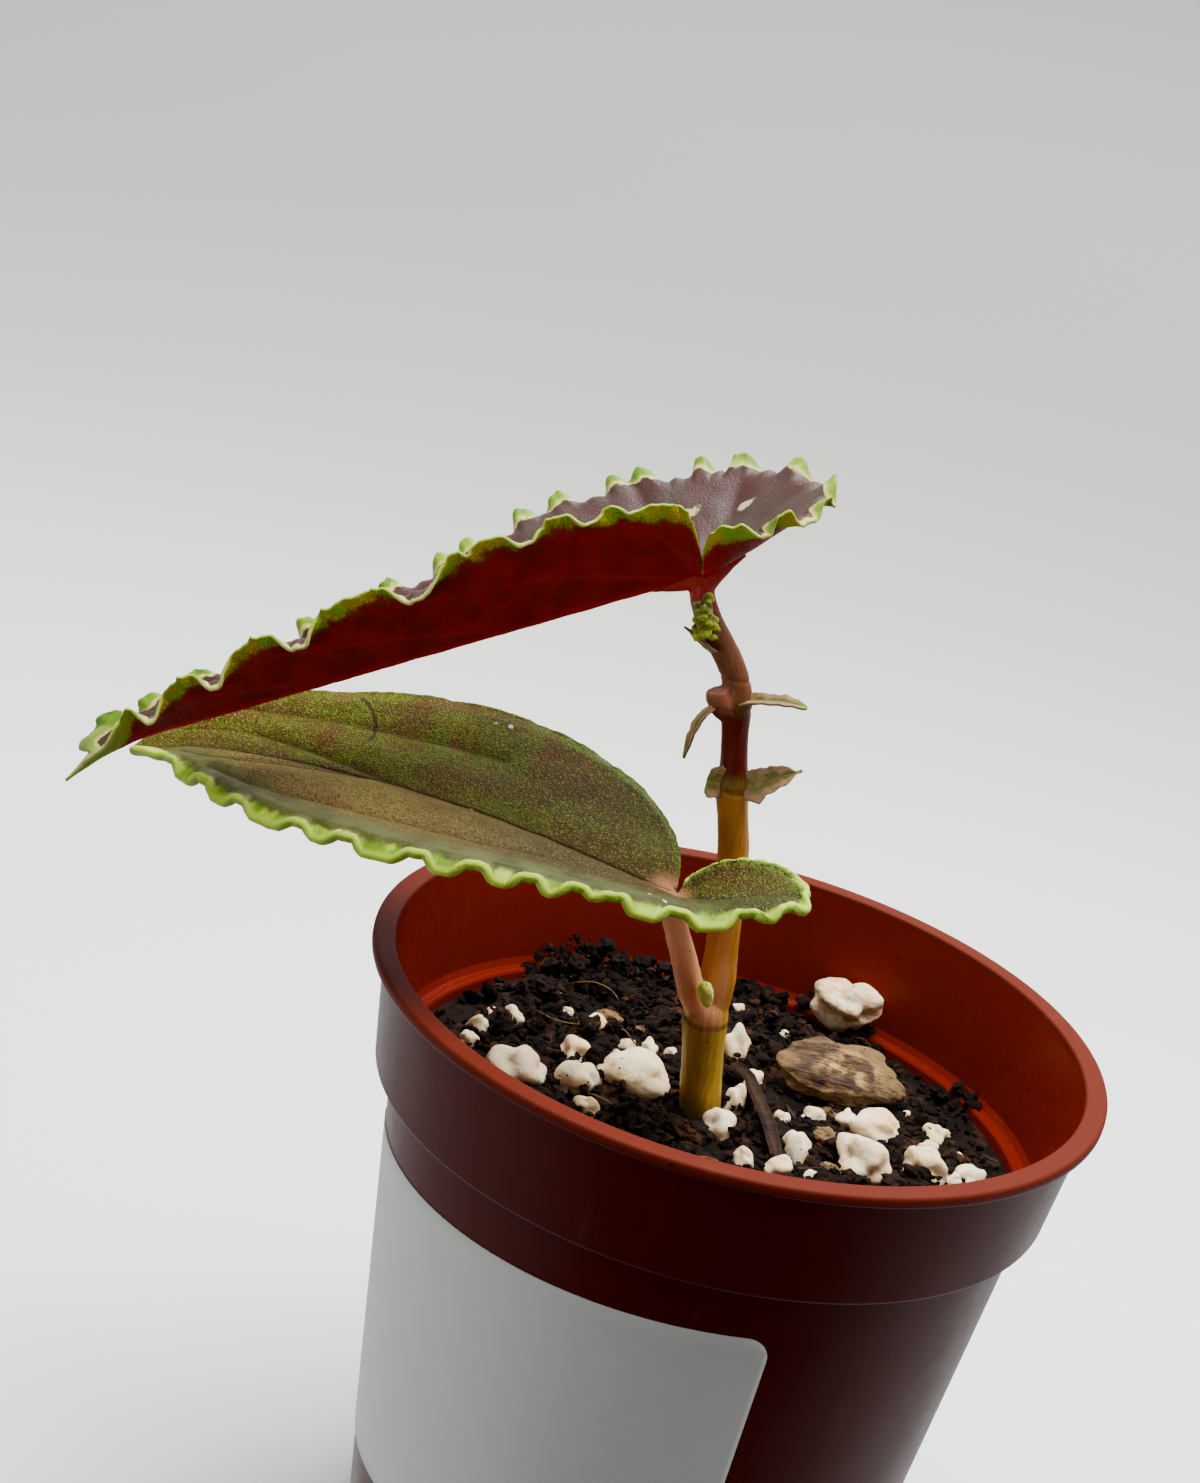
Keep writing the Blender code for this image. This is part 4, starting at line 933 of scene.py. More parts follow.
upperLeaf = dict(
    stalk=(-15.4, 0, 116.3), tip=(-67.1, -10.5, 88.6), halves=(upperNear, upperFar), arch=0,
    droopFrom=57, droop=0.022, keel=1, roll=100, rollWidth=3, lift=10, tooth=0.7, sag=0, spike=0.45,
    groove=0.22, grooveWidth=1.3, pillow=0.12, inside=0.5, margin=0.3, bead=0)
lowerNear = dict(
    outline=[(-1.3, -2.2), (-3.4, -4.2), (-7.4, -5.8), (-11.8, -4.8), (-14.6, -1.6), (-15.2, 2.4),
             (-12.8, 5.8), (-7.6, 6.9), (-2.2, 8.8), (3.6, 11.4), (12, 14.4), (22, 15.8), (31, 15.1),
             (40, 12.4), (48, 8.2), (54.6, 3.2), (60, 0)],
    fan=9, columns=36, side=-1, fold=12, twist=-0.52, back=28, inner=46, ragged=0.16, light=1,
    waves=[(0, 0.3, 0.2), (6, 1.5, 0.15), (12, 1.5, 0.3), (18.5, 0.8, 0.8), (23.6, 0.6, 0.7), (28.3, 0.8, 1),
           (36, 0.8, 1), (42.8, 0.6, 0.5), (46.9, 0.5, 0.9), (51.6, 0.5, 1), (57, 0.7, 1), (63, 0.7, 1),
           (70.6, 0.7, 0.8), (76.3, 0.6, 0.9), (84.2, 0.6, 0.9), (90.3, 0.6, 1), (97, 0.6, 0.5),
           (103.5, 0.4, 0)],
    rises=(1.7, 1.7), spikes=[],
    veins=[[(12, 5.4), (20, 8.2), (29, 8.4), (37, 7.8), (44, 6.6), (50, 4)],
           [(34, 0), (42, 1.2), (49, 2), (54, 1.4)],
           [(0, 0), (-4, 1), (-9, 0.6), (-14, 1)]])
lowerFar = dict(
    outline=[(0.4, 1), (0.8, 4), (2.4, 7.8), (6.6, 11.7), (12, 14), (19, 15.2), (28, 15), (38, 13),
             (47, 10.4), (53.5, 7.8), (57.6, 5), (60, 0)],
    fan=4, columns=20, side=1, fold=26, twist=0, back=26, inner=26, ragged=0.03, light=0.08,
    waves=[(0, 1, 0.1), (9, 1.5, 0.25), (15.5, 1.5, 0.35), (23, 2, 0.3), (31, 2, 0.25), (42, 2.5, 0.3),
           (54, 2.5, 0.2), (72, 1, 0)],
    rises=(3, 3), spikes=[],
    veins=[[(22, 8.6), (28, 8.2), (36, 7.6), (45, 7.4), (51, 7)], [(30, 0), (40, 2.2), (49, 3.6), (55, 3.4)]])
lowerLeaf = dict(
    stalk=(-10.1, -8, 84.9), tip=(-68.6, 1, 84.2), halves=(lowerNear, lowerFar), arch=2.8, droopFrom=48,
    droop=0.012, keel=1.2, roll=64, rollWidth=2.7, lift=5, tooth=0, sag=0.6, spike=0, groove=0.3,
    grooveWidth=0.5, pillow=0.45, inside=0.5, margin=1.2, bead=0.6)
bladeGrid = dict(innerRows=22, rollRows=13, spanColumns=340, finer=6)


def elevation(half, angle, u):
    # how steeply the blade rises from its stalk, at an angle to the midrib
    if angle <= 90:
        return half["fold"] + half["twist"] * u
    if angle <= 180:
        t = (angle - 90) / 90
        return half["fold"] + (half["back"] - half["fold"]) * t * t * (3 - 2 * t)
    return half["back"] + (half["inner"] - half["back"]) * min(1.0, (angle - 180) / 60) ** 1.5


def bladeFrame(leaf):
    stalk, tip = Vector(leaf["stalk"]), Vector(leaf["tip"])
    along = (tip - stalk).normalized()
    across = Vector((0, 0, 1)).cross(along).normalized()
    if across.y < 0:
        across.negate()
    up = along.cross(across).normalized()
    if up.z < 0:
        up.negate()
    return stalk, along, across, up, (tip - stalk).length


def midribHeight(leaf, u, length):
    slope = leaf["arch"] * math.pi / length
    rise = slope * u if u < 0 else leaf["arch"] * math.sin(math.pi * min(u, length) / length)
    return rise - leaf["droop"] * max(0.0, u - leaf["droopFrom"]) ** 2


def bladePoint(leaf, axes, half, u, v, lift):
    # fold a point of the flat blade into place, lifted along the blade's normal
    stalk, along, across, up, length = axes
    across = across * half["side"]
    angle = math.degrees(math.atan2(v, u))
    if angle < -90:
        angle += 360
    tilt = math.radians(elevation(half, angle, u))
    reach = math.hypot(u, v)
    if angle <= 90:
        soft = math.hypot(v, leaf["keel"]) - leaf["keel"]
        point = along * u + across * (v * math.cos(tilt)) + up * (soft * math.sin(tilt))
        normal = up * math.cos(tilt) - across * math.sin(tilt)
    else:
        flat = along * (u / reach) + across * (v / reach)
        soft = math.hypot(reach, leaf["keel"]) - leaf["keel"]
        point = flat * (reach * math.cos(tilt)) + up * (soft * math.sin(tilt))
        normal = up * math.cos(tilt) - flat * math.sin(tilt)
    return (stalk + point + normal * lift + up * midribHeight(leaf, u, length)) * mm


def marginWave(half, way):
    # how far the margin rolls out here, and the way in mm to the trough's lowest spot
    for (crest, wide, depth), (following, nextWide, _) in zip(half["waves"], half["waves"][1:]):
        start, end = crest + wide, following - nextWide
        if start < way < end:
            shrink = min(1.0, (end - start) / sum(half["rises"]))
            first, last = (rise * shrink for rise in half["rises"])
            t = min(1.0, (way - start) / first, (end - way) / last)
            return depth * t * t * (3 - 2 * t), abs(way - start - (end - start) * first / (first + last))
    return 0.0, 99.0


def rolled(distance, reach, width, bend):
    over = distance - (reach - width)
    if over <= 0 or abs(bend) < 0.01:
        return distance, 0.0
    turn, radius = bend * over / width, width / bend
    return reach - width + radius * math.sin(turn), -radius * (1 - math.cos(turn))


def nearestVein(points, routes):
    # distance in the flat blade to the nearest side vein, and how far along that vein it is
    best, along = np.full(len(points), 99.0), np.zeros(len(points))
    for run in (smoothRun(route, 4) for route in routes):
        for k, (start, step) in enumerate(zip(run, run[1:] - run[:-1])):
            share = np.clip((points - start) @ step / (step @ step), 0, 1)
            away = np.linalg.norm(start + share[:, None] * step - points, axis=1)
            along = np.where(away < best, (k + share) / (len(run) - 1), along)
            best = np.minimum(best, away)
    return best, along


def halfBlade(bm, leaf, half, layers):
    # a grid whose columns run from the midrib out to the margin
    axes, side = bladeFrame(leaf), half["side"]
    fan, columns, spans = half["fan"], half["columns"] * bladeGrid["finer"], bladeGrid["spanColumns"]
    rim = evenly(smoothRun(half["outline"][:fan + 1], 12), columns)
    rim = np.vstack([rim, evenly(smoothRun(half["outline"][fan:], 12), spans)[1:]])
    way = np.concatenate([[0], np.cumsum(np.linalg.norm(np.diff(rim, axis=0), axis=1))])
    total, inner, roll = columns + spans, bladeGrid["innerRows"], bladeGrid["rollRows"]
    made = bmesh.ops.create_grid(bm, x_segments=total, y_segments=inner + roll, size=1)
    places = []
    for vert in made["verts"]:
        i = round((vert.co.x + 1) / 2 * total)
        j = round((vert.co.y + 1) / 2 * (inner + roll))
        here = way[i]
        foot = np.array([rim[-1][0] * max(0, i - columns) / spans, 0.0])
        flatReach = max(1e-6, np.linalg.norm(rim[i] - foot))
        wave, toTrough = marginWave(half, here)
        ends = min(1.0, here / 3, (way[-1] - here) / 6)
        bulge = max(0.0, *(1 - ((here - crest) / (wide + 0.7)) ** 2 for crest, wide, _ in half["waves"]))
        ragged = half["ragged"] * (0.5 + bulge) * noise.noise(Vector((here * 1.1, side * 7, leaf["arch"])))
        point = leaf["spike"] * wave * max(0.0, 1 - toTrough / 0.9)
        point += sum(high * max(0.0, 1 - abs(here - spot) / 0.45) for spot, high in half["spikes"])
        swell = leaf["tooth"] * bulge + leaf["sag"] * wave
        reach = flatReach + (swell + point + ragged - 0.1) * ends
        width = min(leaf["rollWidth"], 0.6 * reach)
        distance = (reach - width) * min(1.0, j / inner) + width * max(0, j - inner) / roll
        wobble = 0.12 * noise.noise(Vector((here * 0.8, 3.1, side)))
        bend = math.radians(leaf["roll"] * (wave + wobble) - leaf["lift"] * (1 - wave)) * ends
        out, lift = rolled(distance, reach, width, bend)
        u, v = foot + (rim[i] - foot) / flatReach * out
        places.append((vert, u, v, lift, reach - distance, wave))
    veins = nearestVein(np.array([place[1:3] for place in places]), half["veins"])
    for (vert, u, v, lift, edge, wave), away, along in zip(places, *veins):
        stalkReach = math.hypot(u, v)
        if u >= 0 and v < away:
            away, along = v, min(1.0, u / 60)
        fade = min(1.0, stalkReach / 2.5) * min(1.0, edge / 2.0)
        groove = math.exp(-(away / (leaf["grooveWidth"] * (1.1 - 0.5 * along))) ** 2) * (1 - 0.6 * along)
        pillow = 1 - math.exp(-(away / 2.2) ** 2)
        cockle = noise.noise(Vector((u, v * side, leaf["arch"])) / 2.6) * 0.12
        lift += (leaf["pillow"] * pillow - leaf["groove"] * groove + cockle) * fade
        vert.co = bladePoint(leaf, axes, half, u, v, lift)
        vein = math.exp(-(away / (0.34 * (1.15 - 0.6 * along))) ** 2) * (1 - 0.5 * along)
        keel = math.exp(-(v / 0.8) ** 2) if u > 0 else math.exp(-(stalkReach / 1.6) ** 2)
        flat = (u * mm, v * side * mm, 0.0)
        for layer, value in zip(layers, (edge, vein, max(0.0, 1 - wave), keel, half["light"], flat)):
            vert[layer] = value
    if side < 0:
        bmesh.ops.reverse_faces(bm, faces=list({f for vert in made["verts"] for f in vert.link_faces}))


def makeLeaf(name, leaf, node, slot, *materials):
    bm = bmesh.new()
    layers = [bm.verts.layers.float.new(layer) for layer in ("edge", "vein", "crest", "keel", "light")]
    layers.append(bm.verts.layers.float_vector.new("flat"))
    for half in leaf["halves"]:
        halfBlade(bm, leaf, half, layers)
    bmesh.ops.remove_doubles(bm, verts=bm.verts[:], dist=0.02 * mm)
    if sum(f.normal.z * f.calc_area() for f in bm.faces) < 0:
        bmesh.ops.reverse_faces(bm, faces=bm.faces[:])
    edges = [v[layers[0]] + 1.1 * (1 - v[layers[4]]) for v in bm.verts]
    piece = addPiece(bm, name, node, slot, *materials)
    # thinner or thicker towards the margin, and rounded off at it
    thickest = max(leaf["inside"], leaf["margin"])
    group = piece.vertex_groups.new(name="thickness")
    for index, edge in enumerate(edges):
        near = max(0.0, 1 - max(0.0, edge - 0.3) / 1.1)
        rounding = 1 - leaf["bead"] * max(0.0, 1 - edge / 0.45) ** 2
        share = (leaf["inside"] * (1 - near) + leaf["margin"] * near) / thickest * rounding
        group.add([index], share, "REPLACE")
    solid = thicken(piece, thickest * mm, 0)
    solid.vertex_group = "thickness"
    solid.thickness_vertex_group = 0
    solid.material_offset = 1
    solid.material_offset_rim = 2
    print(name, "done")


def leafParts(mat):
    # what every face of a leaf reads: its flat coordinates, margin, veins and crests
    flat = attribute(mat, "flat", "Vector")
    fray = (noiseAt(flat, 700, 4, 0.6) - 0.5) * 1.8
    return flat, attribute(mat, "edge") + fray, attribute(mat, "vein"), attribute(mat, "crest")


def tipShare(flat, start, end):
    return mask(axesOf(flat)[0], start * mm, end * mm)


def duskyFace():
    # the upper leaf's purple-brown face with its pale margin
    mat = newMaterial("duskyFace", 0.42, 0.25, Sheen_Weight=0.05, Sheen_Roughness=0.4)
    flat, edge, vein, crest = leafParts(mat)
    cell, cloud, dome = grain(flat, 3400, 150)
    # greyish cloudy patches over the purple-brown: partly the face's own tone, partly a painted sheen
    colour = mix(mask(cloud, 0.4, 0.64), rgb(66, 33, 30), rgb(64, 52, 42))
    colour = mix(cell * 0.16, colour, rgb(44, 22, 22))
    colour = mix(vein * 0.12, colour, rgb(84, 66, 54))
    pale = mask(noiseAt(flat, 1300, 4, 0.6), 0.68, 0.73)
    colour = mix(pale * 0.5, colour, rgb(150, 140, 122))
    # cream patches: where each is on the flat blade, its reach, how long it is drawn out, its turn
    # and its tint; the last is the star on the stalk
    for middle, reach, long, turn, tint in (
            ((-1.2, 8.6, 0), 0.5, 2.6, 78, rgb(196, 180, 130)),
            ((-7.2, 6.7, 0), 0.4, 3, 128, rgb(196, 180, 150)),
            ((0, 0, 0), 1.3, 1, 0, rgb(196, 112, 104))):
        offset = vectorCalc("SUBTRACT", flat, [c * mm for c in middle])
        drawn = stretched(offset, (1 / long, 1, 1), (0, 0, math.radians(turn)))
        near = vectorCalc("LENGTH", drawn, output="Value") + noiseAt(flat, 900) * (1.2 * mm)
        colour = mix(mask(near, (reach + 0.7) * mm, (reach + 0.4) * mm), colour, tint)
    # the band widens on the crests and covers the tip
    band = crest * 1.25 + 0.3 + tipShare(flat, 55, 64) * 2.4 - edge
    green = mask(band, 0.15, 0.75) * (crest * 0.7 + 0.3)
    colour = mix(mask(band, -0.2, 0.1), colour, mix(cell, rgb(188, 180, 86), rgb(206, 202, 110)))
    lime = mix(mask(cloud, 0.35, 0.6), rgb(62, 112, 0), rgb(128, 166, 4))
    colour = mix(green, colour, mix(cell * 0.35, lime, rgb(112, 150, 8)))
    return finish(mat, colour, between(0.36, 0.5, cell), dome, 0.02 * mm)


def redUnderside(name, dark, bright, keelGlowTint, marginTint):
    # the wine-red underside with its netted yellow-green margin
    mat = newMaterial(name, 0.42, 0.1, Subsurface_Weight=0.1, Subsurface_Radius=(1, 0.15, 0.05),
                      Subsurface_Scale=0.6 * mm)
    flat, edge, vein, crest = leafParts(mat)
    cell, cloud, dome = grain(flat, 3800, 260)
    net = veinNet(flat, 1900, 0.14)
    colour = mix(mask(cloud, 0.34, 0.66), dark, bright)
    colour = mix(net * 0.12, colour, rgb(60, 4, 4))
    colour = mix(cell * 0.15, colour, rgb(96, 14, 2))
    colour = mix(vein * 0.55, colour, rgb(160, 30, 44))
    # painted glow: the keel along the fold is painted bright red, as light shining through the thin tissue
    # there
    colour = mix(attribute(mat, "keel") * 0.85, colour, keelGlowTint)
    atTip, patchy = tipShare(flat, 58, 63), noiseAt(flat, 330, 2) - 0.5
    band = crest * 1.3 + 0.15 + atTip * 3.2 + patchy * 2.4 + tipShare(flat, 9, 0) - edge
    # the red thins out through orange-brown into green, with red-brown veins between
    colour = mix(mask(band, -0.9, 0) * 0.7, colour, rgb(112, 44, 2))
    netted = mask(band, -0.35, 0.45) * (1 - net * 0.75 * mask(band, 1.3, 0.2))
    lime = mix(mask(noiseAt(flat, 520), 0.4, 0.62), marginTint, rgb(116, 156, 4))
    colour = mix(netted, colour, mix(atTip * 0.8, lime, rgb(168, 186, 62)))
    line = mask(attribute(mat, "edge"), 0.3, 0.12)
    colour = mix(line, colour, mix(crest, rgb(204, 210, 120), rgb(132, 156, 26)))
    return finish(mat, colour, between(0.36, 0.5, cell), dome * 0.5 + net, 0.05 * mm)


def oliveFace():
    # the lower leaf's olive face with its glittering grain and smooth pale margin
    mat = newMaterial("oliveFace", 0.42, 0.07)
    flat, edge, vein, crest = leafParts(mat)
    along, out, _ = axesOf(flat)
    cell, cloud, dome = grain(flat, 5400, 130)
    patches = noiseAt(stretched(flat, (0.5, 1, 1)), 170)
    far = mix(mask(patches, 0.38, 0.56), rgb(80, 64, 1), rgb(86, 96, 1))
    far = mix(mask(cloud, 0.5, 0.66), far, rgb(92, 58, 2))
    far = mix(mask(along, 34 * mm, 8 * mm) * 0.7, far, rgb(60, 52, 18))
    far = mix(mask(along, 32 * mm, 50 * mm) * 0.5, far, rgb(64, 50, 0))
    # greener towards the smooth rim on both sides of the stalk
    rimGreen = mask(edge, 2.6, 0.4) * mask(along, 24 * mm, 12 * mm)
    far = mix(rimGreen * 0.8, far, rgb(84, 112, 36))
    near = mix(mask(patches, 0.4, 0.62), rgb(112, 88, 40), rgb(126, 108, 50))
    near = mix(mask(along, 36 * mm, 8 * mm), near, rgb(68, 58, 30))
    near = mix(mask(along, mm, -4 * mm), near, rgb(58, 62, 30))
    nearHalf = mask(out + (cloud - 0.5) * (2 * mm), 0.3 * mm, -0.9 * mm)
    colour = mix(nearHalf, far, near)
    # the fine golden grain: glints painted on the tops of its cells, and dark specks
    glint = mask(cell, 0.55, 0.85) * mask(dome, 0.5, 0.8)
    colour = mix(glint * 0.5, colour, rgb(196, 172, 86))
    colour = mix(mask(cell, 0.45, 0.1) * 0.6, colour, rgb(30, 22, 3))
    # the smooth grey-green band inside the rolled margin
    smooth = mask(edge, 6.4, 3.2) * nearHalf * mask(along, -9 * mm, -2 * mm)
    greyGreen = mix(mask(noiseAt(flat, 300), 0.4, 0.6), rgb(64, 68, 32), rgb(80, 86, 44))
    colour = mix(smooth * 0.85, colour, greyGreen)
    # painted shade: the creases along the side veins and the midrib are painted dark
    colour = mix(vein * 0.7, colour, rgb(42, 28, 4))
    midrib = attribute(mat, "keel") * mask(along, 2 * mm, 6 * mm)
    colour = mix(midrib * 0.5, colour, rgb(58, 36, 10))
    # one dark curved scratch: part of a ring around a spot on the flat blade
    ring = noiseAt(flat, 500) * (0.5 * mm) + 5.4 * mm
    fromRing = abs(farFrom(flat, (0.0414, 0.0063, 0)) - ring)
    scratch = mask(fromRing, 0.3 * mm, 0.1 * mm) * mask(out, 5.2 * mm, 5.8 * mm) * (along < 39 * mm)
    colour = mix(scratch * 0.8, colour, rgb(30, 18, 4))
    # the waxy margin, wider where it rolls down
    light = attribute(mat, "light")
    rim = mask(light * (1.5 - crest * 0.75) - edge, -0.3, 0.4) * light
    lime = mix(mask(noiseAt(flat, 360), 0.38, 0.62), rgb(100, 138, 14), rgb(172, 198, 58))
    lime = mix(mask(attribute(mat, "edge"), 1, 0.2), lime, rgb(186, 210, 66))
    colour = mix(rim, colour, lime)
    star = mask(farFrom(flat, (0.0006, 0, 0)), 3.4 * mm, 0.6 * mm)
    colour = mix(star * 0.75, colour, rgb(178, 122, 84))
    colour = mix(soilSpecks(flat, 620, 0.035) * 0.75, colour, rgb(226, 224, 196))
    waxy = smooth.orMore(rim)
    rough = mix(waxy, between(0.3, 0.56, cell), grey(0.34))
    return finish(mat, colour, rough, dome * (1 - waxy * 0.8), 0.1 * mm)


def marginEdge(name, trough, crestTint, dull):
    # the cut edge of a blade: pale where it rolls down, greener on the crests, dull where unlit
    mat = newMaterial(name, 0.38, 0.35)
    cell, _, dome = grain(objectPlace(mat), 3000, 500)
    colour = mix(attribute(mat, "crest"), trough, crestTint)
    colour = mix(cell * 0.25, colour, crestTint)
    return finish(mat, mix(attribute(mat, "light"), dull, colour), None, dome, 0.05 * mm)


# Small folded blades at the joints of the stem: where each starts, the way it points, its upper
# side, its length, and its outline as the way along, the upper width and the lower width

smallBlades = dict(
    stipuleUpperRight=dict(
        node="stipule_upper_right", foot=(-8.1, 0, 104), along=(1, -0.22, 0.66), up=(0, -0.5, 1),
        length=6.1, bend=-0.085, fold=34,
        outline=[(0, 0.9, 1), (0.25, 0.7, 1.2), (0.5, 0.6, 1.2), (0.75, 0.7, 0.9), (0.9, 0.55, 0.7),
                 (1, 0.1, 0.25)]),
    stipuleUpperLeft=dict(
        node="stipule_upper_left", foot=(-10.7, -1.6, 103.2), along=(-0.6, -0.4, -0.5), up=(-0.6, -0.3, 0.6),
        length=5, bend=-0.13, fold=30,
        outline=[(0, 0.45, 0.5), (0.3, 0.7, 0.7), (0.6, 0.7, 0.65), (0.82, 0.55, 0.5), (1, 0.05, 0.15)]),
    stipuleLowerRight=dict(
        node="stipule_lower_right", foot=(-5.7, 0.4, 95), along=(1, -0.26, 0.7), up=(-0.2, -1, 0.3),
        length=6.4, bend=-0.028, fold=14,
        outline=[(0, 1.3, 1.4), (0.22, 1.4, 2.2), (0.36, 1.4, 1.6), (0.6, 1.2, 1.15), (0.82, 0.75, 0.7),
                 (0.9, 0.2, 0.2), (1, 0.08, 0.1)]),
    stipuleLowerLeft=dict(
        node="stipule_lower_left", foot=(-7.9, 0.2, 95), along=(-0.9, -0.5, 0.1), up=(-0.4, -1, 0.1),
        length=1.8, bend=-0.05, fold=10,
        outline=[(0, 1.7, 1.6), (0.4, 1.7, 1.9), (0.75, 1.8, 1.6), (1, 1.2, 1.2)]),
    youngStipule=dict(
        node="young_stipule", foot=(-12.4, -1.1, 108.9), along=(-1, -0.4, 0.55), up=(-0.4, -0.2, 1),
        length=4.2, bend=0.03, fold=26,
        outline=[(0, 1.1, 1.1), (0.35, 0.9, 0.9), (0.7, 0.5, 0.45), (1, 0.04, 0.04)]))
smallGrid = dict(columns=64, rows=22, thickness=0.24 * mm, ragged=0.16)


def paperyMaterial():
    mat = newMaterial("paperyStipule", 0.62, 0.35, Subsurface_Weight=0.1, Subsurface_Radius=(0.6, 0.5, 0.3),
                      Subsurface_Scale=0.5 * mm)
    share, edge = attribute(mat, "share"), attribute(mat, "edge")
    fibres = noiseAt(stretched(attribute(mat, "flat", "Vector"), (0.25, 1, 1)), 2600, 4)
    cloud = noiseAt(objectPlace(mat), 800, 4)
    colour = mix(mask(cloud, 0.4, 0.6), rgb(100, 92, 34), rgb(140, 120, 66))
    colour = mix(mask(edge + cloud * 0.3, 0.45, 0.85) * 0.5, colour, rgb(186, 140, 108))
    colour = mix(mask(share, 0.2, 0) * 0.7, colour, rgb(136, 88, 62))
    colour = mix(mask(share, 0.78, 0.95) * 0.75, colour, rgb(120, 132, 26))
    colour = mix(mask(fibres, 0.5, 0.7) * 0.4, colour, rgb(110, 70, 50))
    colour = mix(mask(edge, 0.93, 0.99) * 0.7, colour, rgb(84, 50, 38))
    return finish(mat, colour, between(0.5, 0.75, fibres), fibres, 0.1 * mm)


def makeSmallBlades():
    papery = paperyMaterial()
    for name, shape in smallBlades.items():
        foot, along, up = (Vector(shape[key]) for key in ("foot", "along", "up"))
        along.normalize()
        up = (up - along * up.dot(along)).normalized()
        length = shape["length"]
        across = up.cross(along)
        ways, uppers, lowers = zip(*shape["outline"])
        bm = bmesh.new()
        shareLayer, edgeLayer = bm.verts.layers.float.new("share"), bm.verts.layers.float.new("edge")
        flatLayer = bm.verts.layers.float_vector.new("flat")
        columns, rows = smallGrid["columns"], smallGrid["rows"]
        for v in bmesh.ops.create_grid(bm, x_segments=columns, y_segments=rows, size=1)["verts"]:
            t, s = (v.co.x + 1) / 2, v.co.y
            torn = smallGrid["ragged"] * noise.noise(Vector((t * 9, 5 * (s > 0), length))) * min(1, 4 * t)
            width = max(0.04, float(np.interp(t, ways, uppers if s > 0 else lowers)) + torn)
            u = length * t
            rise = shape["bend"] * u * u + abs(s) * width * math.sin(math.radians(shape["fold"]))
            rise += 0.1 * noise.noise(Vector((u, s * width, length)) * 1.3)
            v.co = (foot + along * u + across * (s * width) + up * rise) * mm
            v[shareLayer], v[edgeLayer], v[flatLayer] = t, abs(s), (u * mm, s * width * mm, 0)
        bmesh.ops.recalc_face_normals(bm, faces=bm.faces[:])
        thicken(addPiece(bm, name, shape["node"], "stipule", papery), smallGrid["thickness"], 0)
    print("stipules done")


# The young leaf, still rolled into a crinkled head, and the bud in the fork

youngLeaf = dict(foot=(-13.3, -2.6, 111.1), head=(-14.6, -3.6, 114.6), radius=1.15, knobs=30,
                 voxel=0.09 * mm, scroll=(-14.1, -3.3, 114.9), scrollSteps=22, seed=4)
sideBud = dict(foot=(-3.7, -3, 71.4), head=(-4.6, -4, 74.4), width=1.7 * mm, scales=6, voxel=0.08 * mm)
spiralStep = 2.4


def youngMaterial(name, dark, light, tip):
    mat = newMaterial(name, 0.42, 0.3, Subsurface_Weight=0.15, Subsurface_Radius=(0.5, 0.8, 0.2),
                      Subsurface_Scale=0.6 * mm)
    cell, cloud, dome = grain(objectPlace(mat), 3600, 700)
    ridge = attribute(mat, "ridge")
    # painted light: the outer ridges are painted lighter as highlights, their tops lightest, and the recesses
    # darker as shade
    colour = mix(mask(ridge, 0.25, 0.8), dark, light)
    colour = mix(mask(ridge, 0.75, 1), colour, tip)
    colour = mix(mask(cloud, 0.5, 0.7) * 0.4, colour, dark)
    return finish(mat, colour, between(0.32, 0.52, cell), dome, 0.1 * mm)


def growth(shape):
    # foot, head, the turn that points Z from one to the other, and the length between them
    foot, head = Vector(shape["foot"]), Vector(shape["head"])
    return foot, head, (head - foot).to_track_quat("Z", "Y").to_matrix(), (head - foot).length * mm


def fuseLumps(piece, shape):
    # one skin over the lumps, with a value that is high on the outer ridges
    fuse(piece, shape["voxel"], 2)
    foot, head = Vector(shape["foot"]) * mm, Vector(shape["head"]) * mm
    axis = (head - foot).normalized()
    away = [((v.co - foot) - axis * (v.co - foot).dot(axis)).length for v in piece.data.vertices]
    low, high = min(away), max(away)
    ridge = piece.data.attributes.new("ridge", "FLOAT", "POINT")
    ridge.data.foreach_set("value", [(a - low) / (high - low) for a in away])


def makeYoungLeaf():
    rng = random.Random(youngLeaf["seed"])
    foot, head, turn, length = growth(youngLeaf)
    bm = bmesh.new()
    addLump(bm, (foot + head) / 2 * mm, (1.9 * mm, 1.7 * mm, length), 4, 0.3, 3, turn)
    for i in range(youngLeaf["knobs"]):
        t = (i + 0.5) / youngLeaf["knobs"]
        around = turn @ Vector((*polar(1, spiralStep * i), 0))
        size = rng.uniform(0.55, 1.0) * (1.1 - 0.35 * t)
        centre = foot.lerp(head, t) + around * youngLeaf["radius"] * (1 - 0.45 * t)
        tilt = turned(rng.uniform(0, math.pi), rng.uniform(0, math.pi), "XY")
        addLump(bm, centre * mm, (size * mm, 0.8 * size * mm, 1.3 * size * mm), 3, 0.3, 40 + i, tilt)
    # the small scroll at the top: two turns of a thin ring, standing on end
    for i in range(youngLeaf["scrollSteps"]):
        angle, radius = 0.42 * i, 0.5 - 0.012 * i
        centre = Vector((radius * math.cos(angle), -0.2, radius * 1.25 * math.sin(angle)))
        centre += Vector(youngLeaf["scroll"])
        addLump(bm, centre * mm, (0.42 * mm, 0.9 * mm, 0.42 * mm), 2, 0.1, 80 + i)
    olive = youngMaterial("youngOlive", rgb(74, 72, 2), rgb(138, 146, 20), rgb(186, 188, 58))
    fuseLumps(addPiece(bm, "youngLeaf", "young_leaf", "young_green", olive), youngLeaf)


